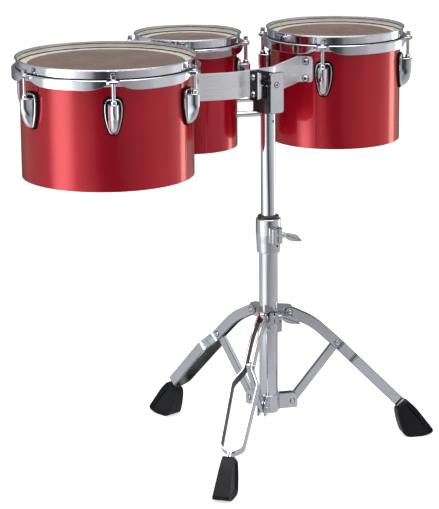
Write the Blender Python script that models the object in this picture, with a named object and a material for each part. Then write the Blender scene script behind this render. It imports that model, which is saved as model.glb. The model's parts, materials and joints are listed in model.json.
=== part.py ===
"""Three marching toms on one bracket and a folding tripod stand.

X runs along the drum row, from the large drum to the right drum. Y runs away from the player and Z up.
The column's axis is the line x = y = 0 until the last step, which moves the whole set so that the
origin lies at the bottom centre of its bounding box. Lengths are in metres and angles in degrees.
"""

import math

import bmesh
import bpy
from mathutils import Matrix, Vector

# General fits
GAP = 0.0003          # between pieces that touch
BORE_GAP = 0.0006     # round a pin, bolt or rod
OVERLAP = 0.001       # how far shapes that form one piece run into each other, and cutters past a face
SHARP_ANGLE = 32.0

# Tubes
LOWER_RADIUS = 0.0143
LOWER_WALL = 0.0015
LOWER_LENGTH = 0.277
UPPER_RADIUS = 0.0111
UPPER_WALL = 0.0015
UPPER_BOTTOM = 0.13
UPPER_LENGTH = 0.434
UPPER_TOP = UPPER_BOTTOM + UPPER_LENGTH
CAP_THICK = 0.002
TUBE_SIDES = 18

# Tripod, as (distance from the column, height)
LEG_ANGLES = {"front": 216.1, "right": 336.1, "rear": 96.1}
LEG_PIVOT = (0.032, 0.214)
LEG_BEND = (0.070, 0.195)
MID_PIVOT = (0.107, 0.160)
STRUT_PIVOT = (0.036, 0.073)
SHOE_ENTRY = (0.2113, 0.0537)
STRAP_THICK = 0.003
STRAP_DEPTH = 0.016
STRAP_NEAR = 0.0055   # strap's middle from the leg's middle, at the top
STRAP_WIDE = 0.0195
STRAP_LOW = 0.0165
SPREAD_START = 0.005  # along X, from the strut's pivot
SPREAD_RUN = 0.017
CLOSE_RUN = 0.0093    # along X, from where the straps close to the shoe
STRAP_MEET = 0.0013
BEND_RUN = 0.016
BEND_STEPS = 2
LEG_PIN_RADIUS = 0.0025
LEG_PIN_PROUD = 0.0012
RIVET_RADIUS = 0.0042
RIVET_PROUD = 0.0014
TIP_LENGTH = 0.007
TIP_BACK = 0.002
TIP_DEPTH = 0.0132
STRUT_HALF = 0.0035
STRUT_DEPTH = 0.0128
STRUT_END_STEPS = 4
PIN_HEAD_RADIUS = 0.0038
PIN_HEAD = 0.0014
PIN_SIDES = 6

# Rubber shoes: outline from the leg's entry round the toe, as (distance, height) from the entry
SHOE = [
    (-0.0073, -0.0075), (0.0077, 0.0043), (0.0127, 0.0018), (0.0232, -0.0082), (0.0502, -0.0442),
    (0.0492, -0.0492), (0.0352, -0.0537), (0.0112, -0.0537), (0.0032, -0.0502), (-0.0033, -0.0337),
    (-0.0075, -0.0152),
]
SHOE_TOP_HALF = 0.009
SHOE_SOLE_HALF = 0.0135
SHOE_EDGE = 0.0022
SHOE_EDGE_SCALE = 0.9

# Strut collar, heights from the struts' pivots and widths from the tube
STRUT_COLLAR_BELOW = 0.0113
STRUT_COLLAR_ABOVE = 0.0135
STRUT_COLLAR_BOTTOM = STRUT_PIVOT[1] - STRUT_COLLAR_BELOW
STRUT_COLLAR_TOP = STRUT_PIVOT[1] + STRUT_COLLAR_ABOVE
STRUT_COLLAR_WALL = 0.0027
STRUT_EAR_OVER = 0.008
STRUT_EAR_INNER = STRUT_HALF + 0.0005
STRUT_EAR_THICK = 0.0024
STRUT_EAR_CORNER = 0.007
TUBE_BELOW_COLLAR = 0.0037
LOWER_BOTTOM = STRUT_COLLAR_BOTTOM - TUBE_BELOW_COLLAR
LOWER_TOP = LOWER_BOTTOM + LOWER_LENGTH

# Leg collar, heights from the legs' pivots
COLLAR_BELOW = 0.011
COLLAR_ABOVE = 0.0103
COLLAR_WALL = 0.0027
COLLAR_BOTTOM = LEG_PIVOT[1] - COLLAR_BELOW
COLLAR_TOP = LEG_PIVOT[1] + COLLAR_ABOVE
STAR_THICK = 0.002
STAR_OVER = 0.004     # star's points beyond the pivots
STAR_WAIST = 0.002    # star's plate beyond the sleeve, between the points
STAR_TIP_ANGLE = 9.0
LEG_EAR_HALF = STRAP_NEAR - STRAP_THICK / 2.0 - GAP
LEG_EAR_OVER = 0.006
LEG_EAR_CORNER = 0.006
COLLAR_BOSS_ANGLE = 250.0
COLLAR_BOSS_REACH = LOWER_RADIUS + 0.0142
COLLAR_BOSS_HALF = 0.0075
COLLAR_BOSS_HEIGHT = 0.0178
COLLAR_BOLT_R = LOWER_RADIUS + 0.0095

# Memory lock under the leg collar
LOCK_HEIGHT = 0.018
LOCK_WALL = 0.00245
LOCK_TOP = COLLAR_BOTTOM - GAP * 3.0
LOCK_BOTTOM = LOCK_TOP - LOCK_HEIGHT
LOCK_BOSS_ANGLE = 322.7
LOCK_BOSS_REACH = LOWER_RADIUS + 0.0062
LOCK_BOSS_HALF = 0.006
LOCK_BOLT_ANGLE = 232.0
LOCK_BOLT_REACH = LOWER_RADIUS + 0.0082
LOCK_BOLT_RADIUS = 0.0038

# Height clamp, heights from the lower tube's top
CLAMP_BELOW = 0.0256
CLAMP_ABOVE = 0.0267
CLAMP_BOTTOM = LOWER_TOP - CLAMP_BELOW
CLAMP_TOP = LOWER_TOP + CLAMP_ABOVE
CLAMP_WALLS = (0.0034, 0.0049, 0.0046)
CLAMP_WAIST = 0.001
BUSHING_WALL = 0.0051
BUSHING_PROUD = 0.0043
CLAMP_BOSS_ANGLE = 262.7
CLAMP_BOSS_REACH = LOWER_RADIUS + 0.0142
CLAMP_BOSS_HALF = 0.009
CLAMP_BOSS_BELOW = 0.0085
CLAMP_BOSS_ABOVE = 0.0155
CLAMP_BOLT_R = LOWER_RADIUS + 0.0092
BOSS_CORNER = 0.0022
SLIT = 0.0016

# Wing bolts of the height clamp and the leg collar, along their own axis from the slit
BOLT_RADIUS = 0.003
BOLT_SIDES = 8
BOLT_TAIL = 0.0075
HUB_RADIUS = 0.0045
HUB_END_RADIUS = 0.0039
HUB_LENGTH = 0.006
WING_LENGTH = 0.0345
WING_DROP = 0.0128
WING_HALF = 0.0055
WING_THICK = 0.0055
WING_THIN = 0.6       # share of the thickness that is left where the wing has no width
WING_SPINE = [(0.0, 0.0, 0.45), (0.25, 0.35, 1.0), (0.74, 0.58, 0.98), (1.0, 1.0, 0.2)]  # along, down, width

# Receiver, the cast bracket on the upper tube: X and Y from the tube's surface
TUBE_IN_RECEIVER = 0.018
BLOCK_HEIGHT = 0.023
BLOCK_TOP = UPPER_TOP - TUBE_IN_RECEIVER
RECEIVER_BOTTOM = BLOCK_TOP - BLOCK_HEIGHT
RECEIVER_HEIGHT = 0.0615
RECEIVER_TOP = RECEIVER_BOTTOM + RECEIVER_HEIGHT
RECEIVER_LEFT = -UPPER_RADIUS - 0.0011
RECEIVER_RIGHT = UPPER_RADIUS + 0.0025
RECEIVER_FRONT = -UPPER_RADIUS - 0.0099
RECEIVER_FACE_THICK = 0.004
RECEIVER_CORNER = 0.004
BLOCK_LEFT = -UPPER_RADIUS - 0.0079
BACK_THICK = 0.0026
EAR_LEFT = -UPPER_RADIUS - 0.0151
EAR_THICK = 0.0028
EAR_FRONT = -0.0135
FACE_BOLT_RISE = 0.02
FACE_BOLT_RADIUS = 0.0042
FACE_BOLT_PROUD = 0.0006
MEMORY_HOLE_DROP = 0.013
MEMORY_HOLE_ANGLE = -75.0
MEMORY_HOLE_RADIUS = 0.0022

# Receiver screw, heights from the top of the block that it is screwed into
SCREW_X = -UPPER_RADIUS - 0.0038
SCREW_Y = -0.011
SCREW_RADIUS = 0.0024
SCREW_DEPTH = 0.010
SCREW_KNOB_RADIUS = 0.004
SCREW_KNOB_TIP = 0.0024
SCREW_KNOB_TOP = 0.034
SCREW_WING_LOW = 0.0202
SCREW_WING_HIGH = 0.029
SCREW_WING_REACH = 0.0138
SCREW_WING_THICK = 0.0042
SCREW_WING_CORNER = 0.0034

# Arms, flat bar; heights from the block's top
ARM_THICK = 0.004
ARM_HEIGHT = 0.04
ARM_BOTTOM = BLOCK_TOP
ARM_TOP = ARM_BOTTOM + ARM_HEIGHT
ARM_CORNER = 0.006
CORNER_CUT = 0.3      # share of a corner's radius at which its arc gets a point
ARM_BOLTS = (0.0055, 0.032)
ARM_BOLT_RADIUS = 0.0052
ARM_BOLT_HEIGHT = 0.0028
DOME = ((1.0, 0.35), (0.55, 1.0))  # bolt head's outline in shares of radius and height
LEFT_SEAT_ANGLE = -36.0
RIGHT_SEAT_ANGLE = 204.9
SEAT_NEAR = 0.012     # flange towards the player from its middle
SEAT_FAR = 0.0115
LEFT_BEND_SLOPE = -0.364
LEFT_END_SLOPE = 0.1
LEFT_FLANGE_X = EAR_LEFT - GAP - ARM_THICK / 2.0
LEFT_FLANGE_REAR = 0.0145
LEFT_FLANGE_FRONT = -0.014
LEFT_CURVE_STEPS = 6
RIGHT_PLATE_START = -0.0255
RIGHT_PLATE_END = 0.022
WASHER_PLATE_HALF = 0.0082
WASHER_PLATE_Y = -0.0058
WASHER_PLATE_THICK = 0.0014
WASHER_PLATE_OVER = 0.002
WASHER_BOLTS = (0.0075, 0.0328)
WASHER_BOLT_RADIUS = 0.0046

# Drums: radius, centre, lug count, first lug's angle, facets of shell and head, hoop stations between lugs
DRUMS = {
    "left": dict(radius=0.127, x=-0.218, y=0.103, lugs=6, angle=239.3, sides=48, head_sides=36, between=3),
    "right": dict(radius=0.1016, x=0.216, y=0.103, lugs=4, angle=220.5, sides=40, head_sides=32, between=4),
    "rear": dict(radius=0.0762, x=0.0, y=0.1983, lugs=4, angle=227.6, sides=32, head_sides=28, between=3),
}
RIM_ABOVE_ARM = 0.0325
RIM_TOP = ARM_TOP + RIM_ABOVE_ARM
SHELL_DEPTH = 0.1765  # from the rim down to the shell's lower edge
SHELL_BOTTOM = RIM_TOP - SHELL_DEPTH
SHELL_WALL = 0.006
EDGE_BEVEL = 0.0015   # outer round-over of the bearing edge

# Head
FILM_DROP = 0.0106    # film below the rim
FILM = 0.0004
COLLAR_CLEAR = 0.0006
COLLAR_OUT = 0.0017
RING_OUT = 0.0073
RING_HEIGHT = 0.007

# Hoop section, measured outwards from the shell's radius and down from the rim
WALL_IN = 0.0028
WALL_OUT = 0.0046
TOP_FLANGE_OUT = 0.0076
FLANGE_THICK = 0.0022
FLANGE_FILLET = 0.0004
SEAT_DROP = 0.0142    # upper side of the lower flange
SKIRT_OUT = 0.011
SKIRT_THICK = 0.0018
SKIRT_DROP = 0.0291
EAR_OUT = 0.0194
EAR_LIP = 0.0036
EAR_HALF = 0.0065
EAR_SIDE = 0.0032
SWEEP = 0.0115        # length over which the skirt sweeps up beside an ear

# Tension rod
ROD_CIRCLE = 0.0135   # outside the shell's radius
ROD_RADIUS = 0.00275
ROD_SIDES = 8
ROD_FLANGE_RADIUS = 0.00475
ROD_FLANGE = 0.0019
ROD_HEAD_HALF = 0.00315
ROD_HEAD = 0.006
ROD_IN_LUG = 0.012

# Lug: shield outline as (half width, height) shares, from the top corner to the bottom
SHIELD = [(0.60, 1.0), (0.95, 0.86), (0.90, 0.42), (0.40, 0.0)]
LUG_DROP = 0.039      # gasket's top below the rim
GASKET_WIDTH = 0.028
GASKET_HEIGHT = 0.056
GASKET_THICK = 0.0009
LUG_BOTTOM = RIM_TOP - LUG_DROP - GASKET_HEIGHT
LUG_RIM = 0.0013      # gasket that shows round the base
LUG_BASE_THICK = 0.0042
LUG_SLOPE = 0.002     # how far the base draws in at its front
BODY_HALF = 0.00815
BODY_OUT = 0.0215
BODY_DROP = 0.0085    # body's top below the gasket's top
BODY_TOP = LUG_BOTTOM + GASKET_HEIGHT - BODY_DROP
BODY_STRAIGHT = 0.013
BODY_RISE = 0.005     # body's lower end above the gasket's
BODY_STEPS = 2
BODY_END = 0.4        # share of a further step that the rounded lower end leaves out
BODY_END_WIDTH = 0.45
BODY_SHOULDER = 0.62  # where the body's sides turn towards its nose, and the nose's width
BODY_NOSE = 0.5
SLEEVE_RADIUS = 0.0043
SLEEVE_HEIGHT = 0.0052
SLEEVE_SIDES = 6

# Links between the rear drum and the two others, heights above the shell's lower edge
LINK_RISES = (0.0437, 0.0673)
LINK_HEIGHTS = tuple(SHELL_BOTTOM + rise for rise in LINK_RISES)
LINK_RADIUS = 0.005
LINK_BOLT = 0.003
LINK_NUT = 0.0055
LINK_NUT_THICK = 0.0035
LINK_SIDES = 6
PLATE_HALF = 0.007
PLATE_CORNER = 0.0056
PLATE_THICK = 0.003
PLATE_OVER = 0.009    # backing plate beyond its bolts


def smooth(x):
    """0 below 0, 1 above 1 and an S curve between."""
    x = min(max(x, 0.0), 1.0)
    return x * x * (3.0 - 2.0 * x)


def polar(radius, degrees):
    angle = math.radians(degrees)
    return radius * math.cos(angle), radius * math.sin(angle)


def circle(radius, sides):
    """Points of a circle as (x, y)."""
    turns = (2.0 * math.pi * i / sides for i in range(sides))
    return [(radius * math.cos(a), radius * math.sin(a)) for a in turns]


def skin(rings, closed=False):
    """A closed mesh through matching rings of points, with flat ends unless the rings close on themselves."""
    bm = bmesh.new()
    loops = [[bm.verts.new(point) for point in ring] for ring in rings]
    following = loops[1:] + loops[:1] if closed else loops[1:]
    for first, second in zip(loops, following):
        for i in range(len(first)):
            j = (i + 1) % len(first)
            bm.faces.new((first[i], first[j], second[j], second[i]))
    if not closed:
        bm.faces.new(loops[0])
        bm.faces.new(loops[-1])
    bmesh.ops.recalc_face_normals(bm, faces=bm.faces[:])
    mesh = bpy.data.meshes.new("shape")
    bm.to_mesh(mesh)
    bm.free()
    return mesh


def ring_of(profile, sides):
    """A turned piece with a bore: profile is a closed outline of (radius, z)."""
    turns = (2.0 * math.pi * i / sides for i in range(sides))
    return skin([[(r * math.cos(a), r * math.sin(a), z) for r, z in profile] for a in turns], closed=True)


def turned(profile, sides):
    """A solid turned piece: (radius, z) from one flat end to the other."""
    return skin([[(x, y, z) for x, y in circle(r, sides)] for r, z in profile])


def prism(outline, low, high):
    """An outline of (x, y) extruded along Z."""
    return skin([[(x, y, z) for x, y in outline] for z in (low, high)])


def box(x, y, z):
    """A block given by its (low, high) pairs."""
    return prism([(x[0], y[0]), (x[1], y[0]), (x[1], y[1]), (x[0], y[1])], *z)


def rounded(points, radii, steps=2):
    """A polygon with each corner rounded by its own radius; 0 keeps the corner."""
    result = []
    count = len(points)
    for i, (point, radius) in enumerate(zip(points, radii)):
        corner = Vector(point)
        if not radius:
            result.append(tuple(corner))
            continue
        before = (Vector(points[i - 1]) - corner).normalized()
        after = (Vector(points[(i + 1) % count]) - corner).normalized()
        half = before.angle(after) / 2.0
        centre = corner + (before + after).normalized() * radius / math.sin(half)
        start = corner + before * radius / math.tan(half) - centre
        end = corner + after * radius / math.tan(half) - centre
        for k in range(steps + 1):
            share = k / steps
            arm = (start * (1.0 - share) + end * share).normalized() * radius
            result.append(tuple(centre + arm))
    return result


def moved(mesh, matrix):
    mesh.transform(matrix)
    return mesh


def turn_about_z(degrees):
    return Matrix.Rotation(math.radians(degrees), 4, "Z")


def shifted(x, y, z):
    return Matrix.Translation((x, y, z))


def lying(axis_from, degrees=0.0):
    """Turns a piece built along Z so that it lies along the horizontal direction of the angle."""
    upright = Matrix.Rotation(math.radians(90.0), 4, "Y")
    return Matrix.Translation(axis_from) @ turn_about_z(degrees) @ upright


def combined(mesh, tools, operation):
    """The mesh after each tool is joined to it (UNION) or cut from it (DIFFERENCE)."""
    body = bpy.data.objects.new("body", mesh)
    helpers = [bpy.data.objects.new("tool", tool) for tool in tools]
    for obj in [body, *helpers]:
        bpy.context.scene.collection.objects.link(obj)
    for helper in helpers:
        modifier = body.modifiers.new("Boolean", "BOOLEAN")
        modifier.operation = operation
        modifier.solver = "EXACT"
        modifier.object = helper
    graph = bpy.context.evaluated_depsgraph_get()
    result = bpy.data.meshes.new_from_object(body.evaluated_get(graph))
    for obj in [body, *helpers]:
        bpy.data.objects.remove(obj)
    return result


def joined(mesh, *tools):
    return combined(mesh, tools, "UNION")


def cut(mesh, *tools):
    return combined(mesh, tools, "DIFFERENCE")


def material(name, red, green, blue, roughness, metallic):
    """A Principled material from a display colour of 0 to 255."""
    made = bpy.data.materials.new(name)
    made.use_nodes = True
    shader = made.node_tree.nodes["Principled BSDF"]
    linear = [(value / 255.0) ** 2.2 for value in (red, green, blue)]
    shader.inputs["Base Color"].default_value = (*linear, 1.0)
    shader.inputs["Roughness"].default_value = roughness
    shader.inputs["Metallic"].default_value = metallic
    made.diffuse_color = (*linear, 1.0)
    return made


def empty(name, parent=None):
    made = bpy.data.objects.new(name, None)
    bpy.context.scene.collection.objects.link(made)
    made.parent = parent
    return made


def piece(name, mesh, surface, parent, place=(0.0, 0.0, 0.0), turn=0.0):
    """One named part, placed under its parent and shaded smooth up to its sharp edges."""
    mesh.name = name
    mesh.materials.clear()
    mesh.materials.append(surface)
    mesh.shade_smooth()
    mesh.set_sharp_from_angle(angle=math.radians(SHARP_ANGLE))
    made = bpy.data.objects.new(name, mesh)
    bpy.context.scene.collection.objects.link(made)
    made.parent = parent
    made.location = place
    made.rotation_euler = (0.0, 0.0, math.radians(turn))
    return made


# Drums: every mesh has the drum's axis as its own Z axis and its first lug on +X

def inner_face(drum, half_width):
    """Distance from a drum's axis to a flat piece of that half width that rests inside its shell."""
    inside = (drum["radius"] - SHELL_WALL) * math.cos(math.pi / drum["sides"])
    return math.sqrt(inside**2 - half_width**2) - GAP


def shell_mesh(drum, link_angles):
    """A cylinder open at both ends, with a bearing edge that falls away inwards at 45 degrees."""
    outer = drum["radius"]
    inner = outer - SHELL_WALL
    top = RIM_TOP - FILM_DROP - FILM - GAP
    crest = outer - EDGE_BEVEL
    profile = [
        (inner, SHELL_BOTTOM), (outer, SHELL_BOTTOM), (outer, top - EDGE_BEVEL),
        (crest, top), (inner, top - (crest - inner)),
    ]
    shell = ring_of(profile, drum["sides"])
    holes = []
    for angle in link_angles:
        for height in LINK_HEIGHTS:
            reach = (inner - OVERLAP * 2.0, outer + OVERLAP)
            hole = turned([(LINK_BOLT + BORE_GAP, distance) for distance in reach], LINK_SIDES)
            holes.append(moved(hole, lying((0.0, 0.0, height), angle)))
    return cut(shell, *holes) if holes else shell


def head_mesh(drum):
    """The film over the bearing edge, its collar down the shell, and the metal ring that the hoop presses."""
    outer = drum["radius"]
    under = RIM_TOP - FILM_DROP - FILM
    ring_top = RIM_TOP - SEAT_DROP - FLANGE_THICK - GAP
    inside = outer + COLLAR_CLEAR
    return turned(
        [
            (inside, under), (inside, ring_top - RING_HEIGHT), (outer + RING_OUT, ring_top - RING_HEIGHT),
            (outer + RING_OUT, ring_top), (outer + COLLAR_OUT, ring_top), (outer + COLLAR_OUT, under + FILM),
        ],
        drum["head_sides"],
    )


def hoop_section(radius, distance):
    """The pressed rim's outline, (radius, z), at a distance along the rim from the nearest ear's middle."""
    ear = (EAR_OUT - SKIRT_OUT) * (1.0 - smooth((distance - EAR_HALF) / EAR_SIDE))
    drop = SKIRT_DROP + (SEAT_DROP + EAR_LIP - SKIRT_DROP) * (1.0 - smooth((distance - EAR_HALF - EAR_SIDE) / SWEEP))
    outline = [
        (WALL_IN, 0.0), (TOP_FLANGE_OUT, 0.0), (TOP_FLANGE_OUT, FLANGE_THICK),
        (WALL_OUT, FLANGE_THICK + FLANGE_FILLET), (WALL_OUT, SEAT_DROP), (SKIRT_OUT + ear, SEAT_DROP),
        (SKIRT_OUT + ear, drop),
        (SKIRT_OUT + ear - SKIRT_THICK, drop), (SKIRT_OUT + ear - SKIRT_THICK, SEAT_DROP + FLANGE_THICK),
        (WALL_IN, SEAT_DROP + FLANGE_THICK),
    ]
    return [(radius + out, RIM_TOP - down) for out, down in outline]


def hoop_mesh(drum):
    """A loft round the drum through sections that swell into an ear at each lug, drilled for the rods."""
    radius = drum["radius"]
    reach = radius + SKIRT_OUT
    sector = 2.0 * math.pi / drum["lugs"]
    side_arcs = (EAR_HALF, EAR_HALF + EAR_SIDE, EAR_HALF + EAR_SIDE + SWEEP / 2.0, EAR_HALF + EAR_SIDE + SWEEP)
    beside = [arc / reach for arc in side_arcs]
    free = sector - 2.0 * beside[-1]
    offsets = [-angle for angle in reversed(beside)] + beside
    offsets += [beside[-1] + free * (i + 1) / (drum["between"] + 1) for i in range(drum["between"])]
    rings = []
    for lug in range(drum["lugs"]):
        for offset in offsets:
            distance = min(abs(offset), sector - abs(offset)) * reach
            angle = lug * sector + offset
            section = hoop_section(radius, distance)
            rings.append([(r * math.cos(angle), r * math.sin(angle), z) for r, z in section])
    drills = []
    for lug in range(drum["lugs"]):
        x, y = polar(radius + ROD_CIRCLE, math.degrees(lug * sector))
        drill = turned(
            [(ROD_RADIUS + BORE_GAP, RIM_TOP - SEAT_DROP - EAR_LIP * 2.0), (ROD_RADIUS + BORE_GAP, RIM_TOP)],
            ROD_SIDES,
        )
        drills.append(moved(drill, shifted(x, y, 0.0)))
    return cut(skin(rings, closed=True), *drills)


def shield(width, height, x, low):
    """The lug's outline as a ring of points at one distance from the drum's axis."""
    right = [(x, width / 2.0 * across, low + height * up) for across, up in SHIELD]
    left = [(x, -y, z) for _, y, z in reversed(right)]
    return right + left


def lug_mesh(drum):
    """Gasket and shield base on the curved shell, bullet body, and a sleeve bored for the tension rod."""
    radius = drum["radius"]
    base_width = GASKET_WIDTH - 2.0 * LUG_RIM
    base_height = GASKET_HEIGHT - 2.0 * LUG_RIM
    base_low = LUG_BOTTOM + LUG_RIM
    front = radius + GASKET_THICK + LUG_BASE_THICK
    front_width, front_height = base_width - 2.0 * LUG_SLOPE, base_height - 2.0 * LUG_SLOPE
    base = skin(
        [
            shield(GASKET_WIDTH, GASKET_HEIGHT, radius - SHELL_WALL, LUG_BOTTOM),
            shield(GASKET_WIDTH, GASKET_HEIGHT, radius + GASKET_THICK + GAP, LUG_BOTTOM),
            shield(base_width, base_height, radius + GASKET_THICK + GAP * 2.0, base_low),
            shield(front_width, front_height, front, base_low + LUG_SLOPE),
        ]
    )
    straight_from = BODY_TOP - BODY_STRAIGHT
    depth = radius + BODY_OUT - front + OVERLAP
    bottom = LUG_BOTTOM + BODY_RISE
    levels = [(BODY_TOP, 1.0, 1.0), (straight_from, 1.0, 1.0)]
    for step in range(1, BODY_STEPS + 1):
        turn = step / (BODY_STEPS + BODY_END) * math.pi / 2.0
        fall = straight_from - (straight_from - bottom) * math.sin(turn)
        levels.append((fall, math.cos(turn), BODY_END_WIDTH + (1.0 - BODY_END_WIDTH) * math.sqrt(math.cos(turn))))
    rings = []
    for z, reach, width in levels:
        back = front - OVERLAP
        nose = back + depth * reach
        half = BODY_HALF * width
        shoulder = back + (nose - back) * BODY_SHOULDER
        tip = half * BODY_NOSE
        rings.append(
            [(back, -half, z), (shoulder, -half, z), (nose, -tip, z), (nose, tip, z), (shoulder, half, z),
             (back, half, z)]
        )
    body = skin(rings)
    rod_x = radius + ROD_CIRCLE
    sleeve_top = BODY_TOP + SLEEVE_HEIGHT
    sleeve = turned([(SLEEVE_RADIUS, BODY_TOP - OVERLAP * 4.0), (SLEEVE_RADIUS, sleeve_top)], SLEEVE_SIDES)
    bore = turned(
        [(ROD_RADIUS + BORE_GAP, sleeve_top - ROD_IN_LUG - OVERLAP), (ROD_RADIUS + BORE_GAP, sleeve_top + OVERLAP)],
        SLEEVE_SIDES,
    )
    drum_side = turned([(radius + GAP, LUG_BOTTOM - OVERLAP), (radius + GAP, RIM_TOP)], drum["sides"])
    whole = joined(base, body, moved(sleeve, shifted(rod_x, 0.0, 0.0)))
    return cut(whole, drum_side, moved(bore, shifted(rod_x, 0.0, 0.0)))


def rod_mesh(drum):
    """A tension rod from the lug's bore to the square key head above the hoop's ear."""
    seat = RIM_TOP - SEAT_DROP + GAP
    tail = BODY_TOP + SLEEVE_HEIGHT - ROD_IN_LUG
    flange_top = seat + ROD_FLANGE
    profile = [
        (ROD_RADIUS, tail), (ROD_RADIUS, seat), (ROD_FLANGE_RADIUS, seat), (ROD_FLANGE_RADIUS, flange_top)
    ]
    rings = [[(x, y, z) for x, y in circle(r, ROD_SIDES)] for r, z in profile]
    square = []
    for x, y in circle(1.0, ROD_SIDES):
        stretch = ROD_HEAD_HALF / max(abs(x), abs(y))
        square.append((x * stretch, y * stretch))
    rings += [[(x, y, z) for x, y in square] for z in (flange_top, flange_top + ROD_HEAD)]
    return moved(skin(rings), shifted(drum["radius"] + ROD_CIRCLE, 0.0, 0.0))


def build_drum(name, parent, link_angles):
    """Shell, head, hoop, lugs and tension rods of one drum."""
    drum = DRUMS[name]
    place = (drum["x"], drum["y"], 0.0)
    relative = [angle - drum["angle"] for angle in link_angles]
    piece(f"{name}_shell", shell_mesh(drum, relative), WRAP, parent, place, drum["angle"])
    piece(f"{name}_head", head_mesh(drum), FILM_SURFACE, parent, place, drum["angle"])
    piece(f"{name}_hoop", hoop_mesh(drum), CHROME, parent, place, drum["angle"])
    lug, rod = lug_mesh(drum), rod_mesh(drum)
    for i in range(drum["lugs"]):
        turn = drum["angle"] + 360.0 * i / drum["lugs"]
        piece(f"{name}_lug_{i + 1}", lug, CHROME, parent, place, turn)
        piece(f"{name}_rod_{i + 1}", rod, CHROME, parent, place, turn)


def link_mesh(first, second):
    """Two spacer tubes between two shells, on bolts that hold a backing plate inside the first shell."""
    span = math.hypot(second["x"] - first["x"], second["y"] - first["y"])
    plate_face = inner_face(first, PLATE_HALF)
    first_skin = first["radius"] + GAP
    second_skin = span - second["radius"] - GAP
    nut_face = span - inner_face(second, LINK_NUT)
    low, high = min(LINK_HEIGHTS) - PLATE_OVER, max(LINK_HEIGHTS) + PLATE_OVER
    outline = rounded(
        [(low, -PLATE_HALF), (high, -PLATE_HALF), (high, PLATE_HALF), (low, PLATE_HALF)],
        [PLATE_CORNER] * 4,
    )
    plate = skin([[(x, y, z) for z, y in outline] for x in (plate_face - PLATE_THICK, plate_face)])
    bolts = []
    for height in LINK_HEIGHTS:
        bolt = turned(
            [
                (LINK_BOLT, plate_face - PLATE_THICK / 2.0), (LINK_BOLT, first_skin), (LINK_RADIUS, first_skin),
                (LINK_RADIUS, second_skin), (LINK_BOLT, second_skin), (LINK_BOLT, nut_face),
                (LINK_NUT, nut_face), (LINK_NUT, nut_face + LINK_NUT_THICK),
            ],
            LINK_SIDES,
        )
        bolts.append(moved(bolt, lying((0.0, 0.0, height))))
    return joined(plate, *bolts)


def angle_between(first, second):
    return math.degrees(math.atan2(second["y"] - first["y"], second["x"] - first["x"]))


# Arms and receiver

def bar(path, low, high, thick, corners):
    """A flat bar on edge along a plan path, with the upright ends rounded by the two corner radii."""
    points = [Vector(point) for point in path]
    stations = [(0.0, points[0])]
    for before, after in zip(points, points[1:]):
        stations.append((stations[-1][0] + (after - before).length, after))
    length = stations[-1][0]

    def at(distance):
        for (d0, p0), (d1, p1) in zip(stations, stations[1:]):
            if distance <= d1:
                return p0.lerp(p1, (distance - d0) / (d1 - d0))
        return points[-1]

    marks = sorted(
        {d for d, _ in stations}
        | {corners[0] * share for share in (CORNER_CUT, 1.0) if corners[0]}
        | {length - corners[1] * share for share in (CORNER_CUT, 1.0) if corners[1]}
    )
    rings = []
    for i, mark in enumerate(marks):
        here = at(mark)
        ahead = (at(marks[i + 1]) - here).normalized() if i + 1 < len(marks) else None
        behind = (here - at(marks[i - 1])).normalized() if i else None
        along = ((ahead or behind) + (behind or ahead)).normalized()
        normal = Vector((-along.y, along.x))
        mitre = thick / 2.0 / along.dot(ahead or behind)
        inset = 0.0
        for radius, distance in ((corners[0], mark), (corners[1], length - mark)):
            if radius and distance < radius:
                inset = radius - math.sqrt(radius**2 - (radius - distance) ** 2)
        left, right = here + normal * mitre, here - normal * mitre
        rings.append(
            [(left.x, left.y, low + inset), (right.x, right.y, low + inset),
             (right.x, right.y, high - inset), (left.x, left.y, high - inset)]
        )
    return skin(rings)


def seat_line(drum, angle, near_sign):
    """Ends of the flange that lies on a shell: far end, near (player's) end, middle and outward direction."""
    out = Vector(polar(1.0, angle))
    along = Vector((-out.y, out.x)) * near_sign
    middle = Vector((drum["x"], drum["y"])) + out * (drum["radius"] + GAP + ARM_THICK / 2.0)
    return middle - along * SEAT_FAR, middle + along * SEAT_NEAR, middle, out


def domed_bolt(radius, height):
    """A round head standing on z = 0, with a root that runs into its seat."""
    head = [(radius * across, height * up) for across, up in DOME]
    return turned([(radius, -OVERLAP), *head], BOLT_SIDES)


def seat_bolts(middle, out, angle):
    """The two bolts of an arm's flange on its shell."""
    root = middle + out * ARM_THICK / 2.0
    heights = [ARM_BOTTOM + rise for rise in ARM_BOLTS]
    head = (ARM_BOLT_RADIUS, ARM_BOLT_HEIGHT)
    return [moved(domed_bolt(*head), lying((root.x, root.y, height), angle)) for height in heights]


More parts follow.
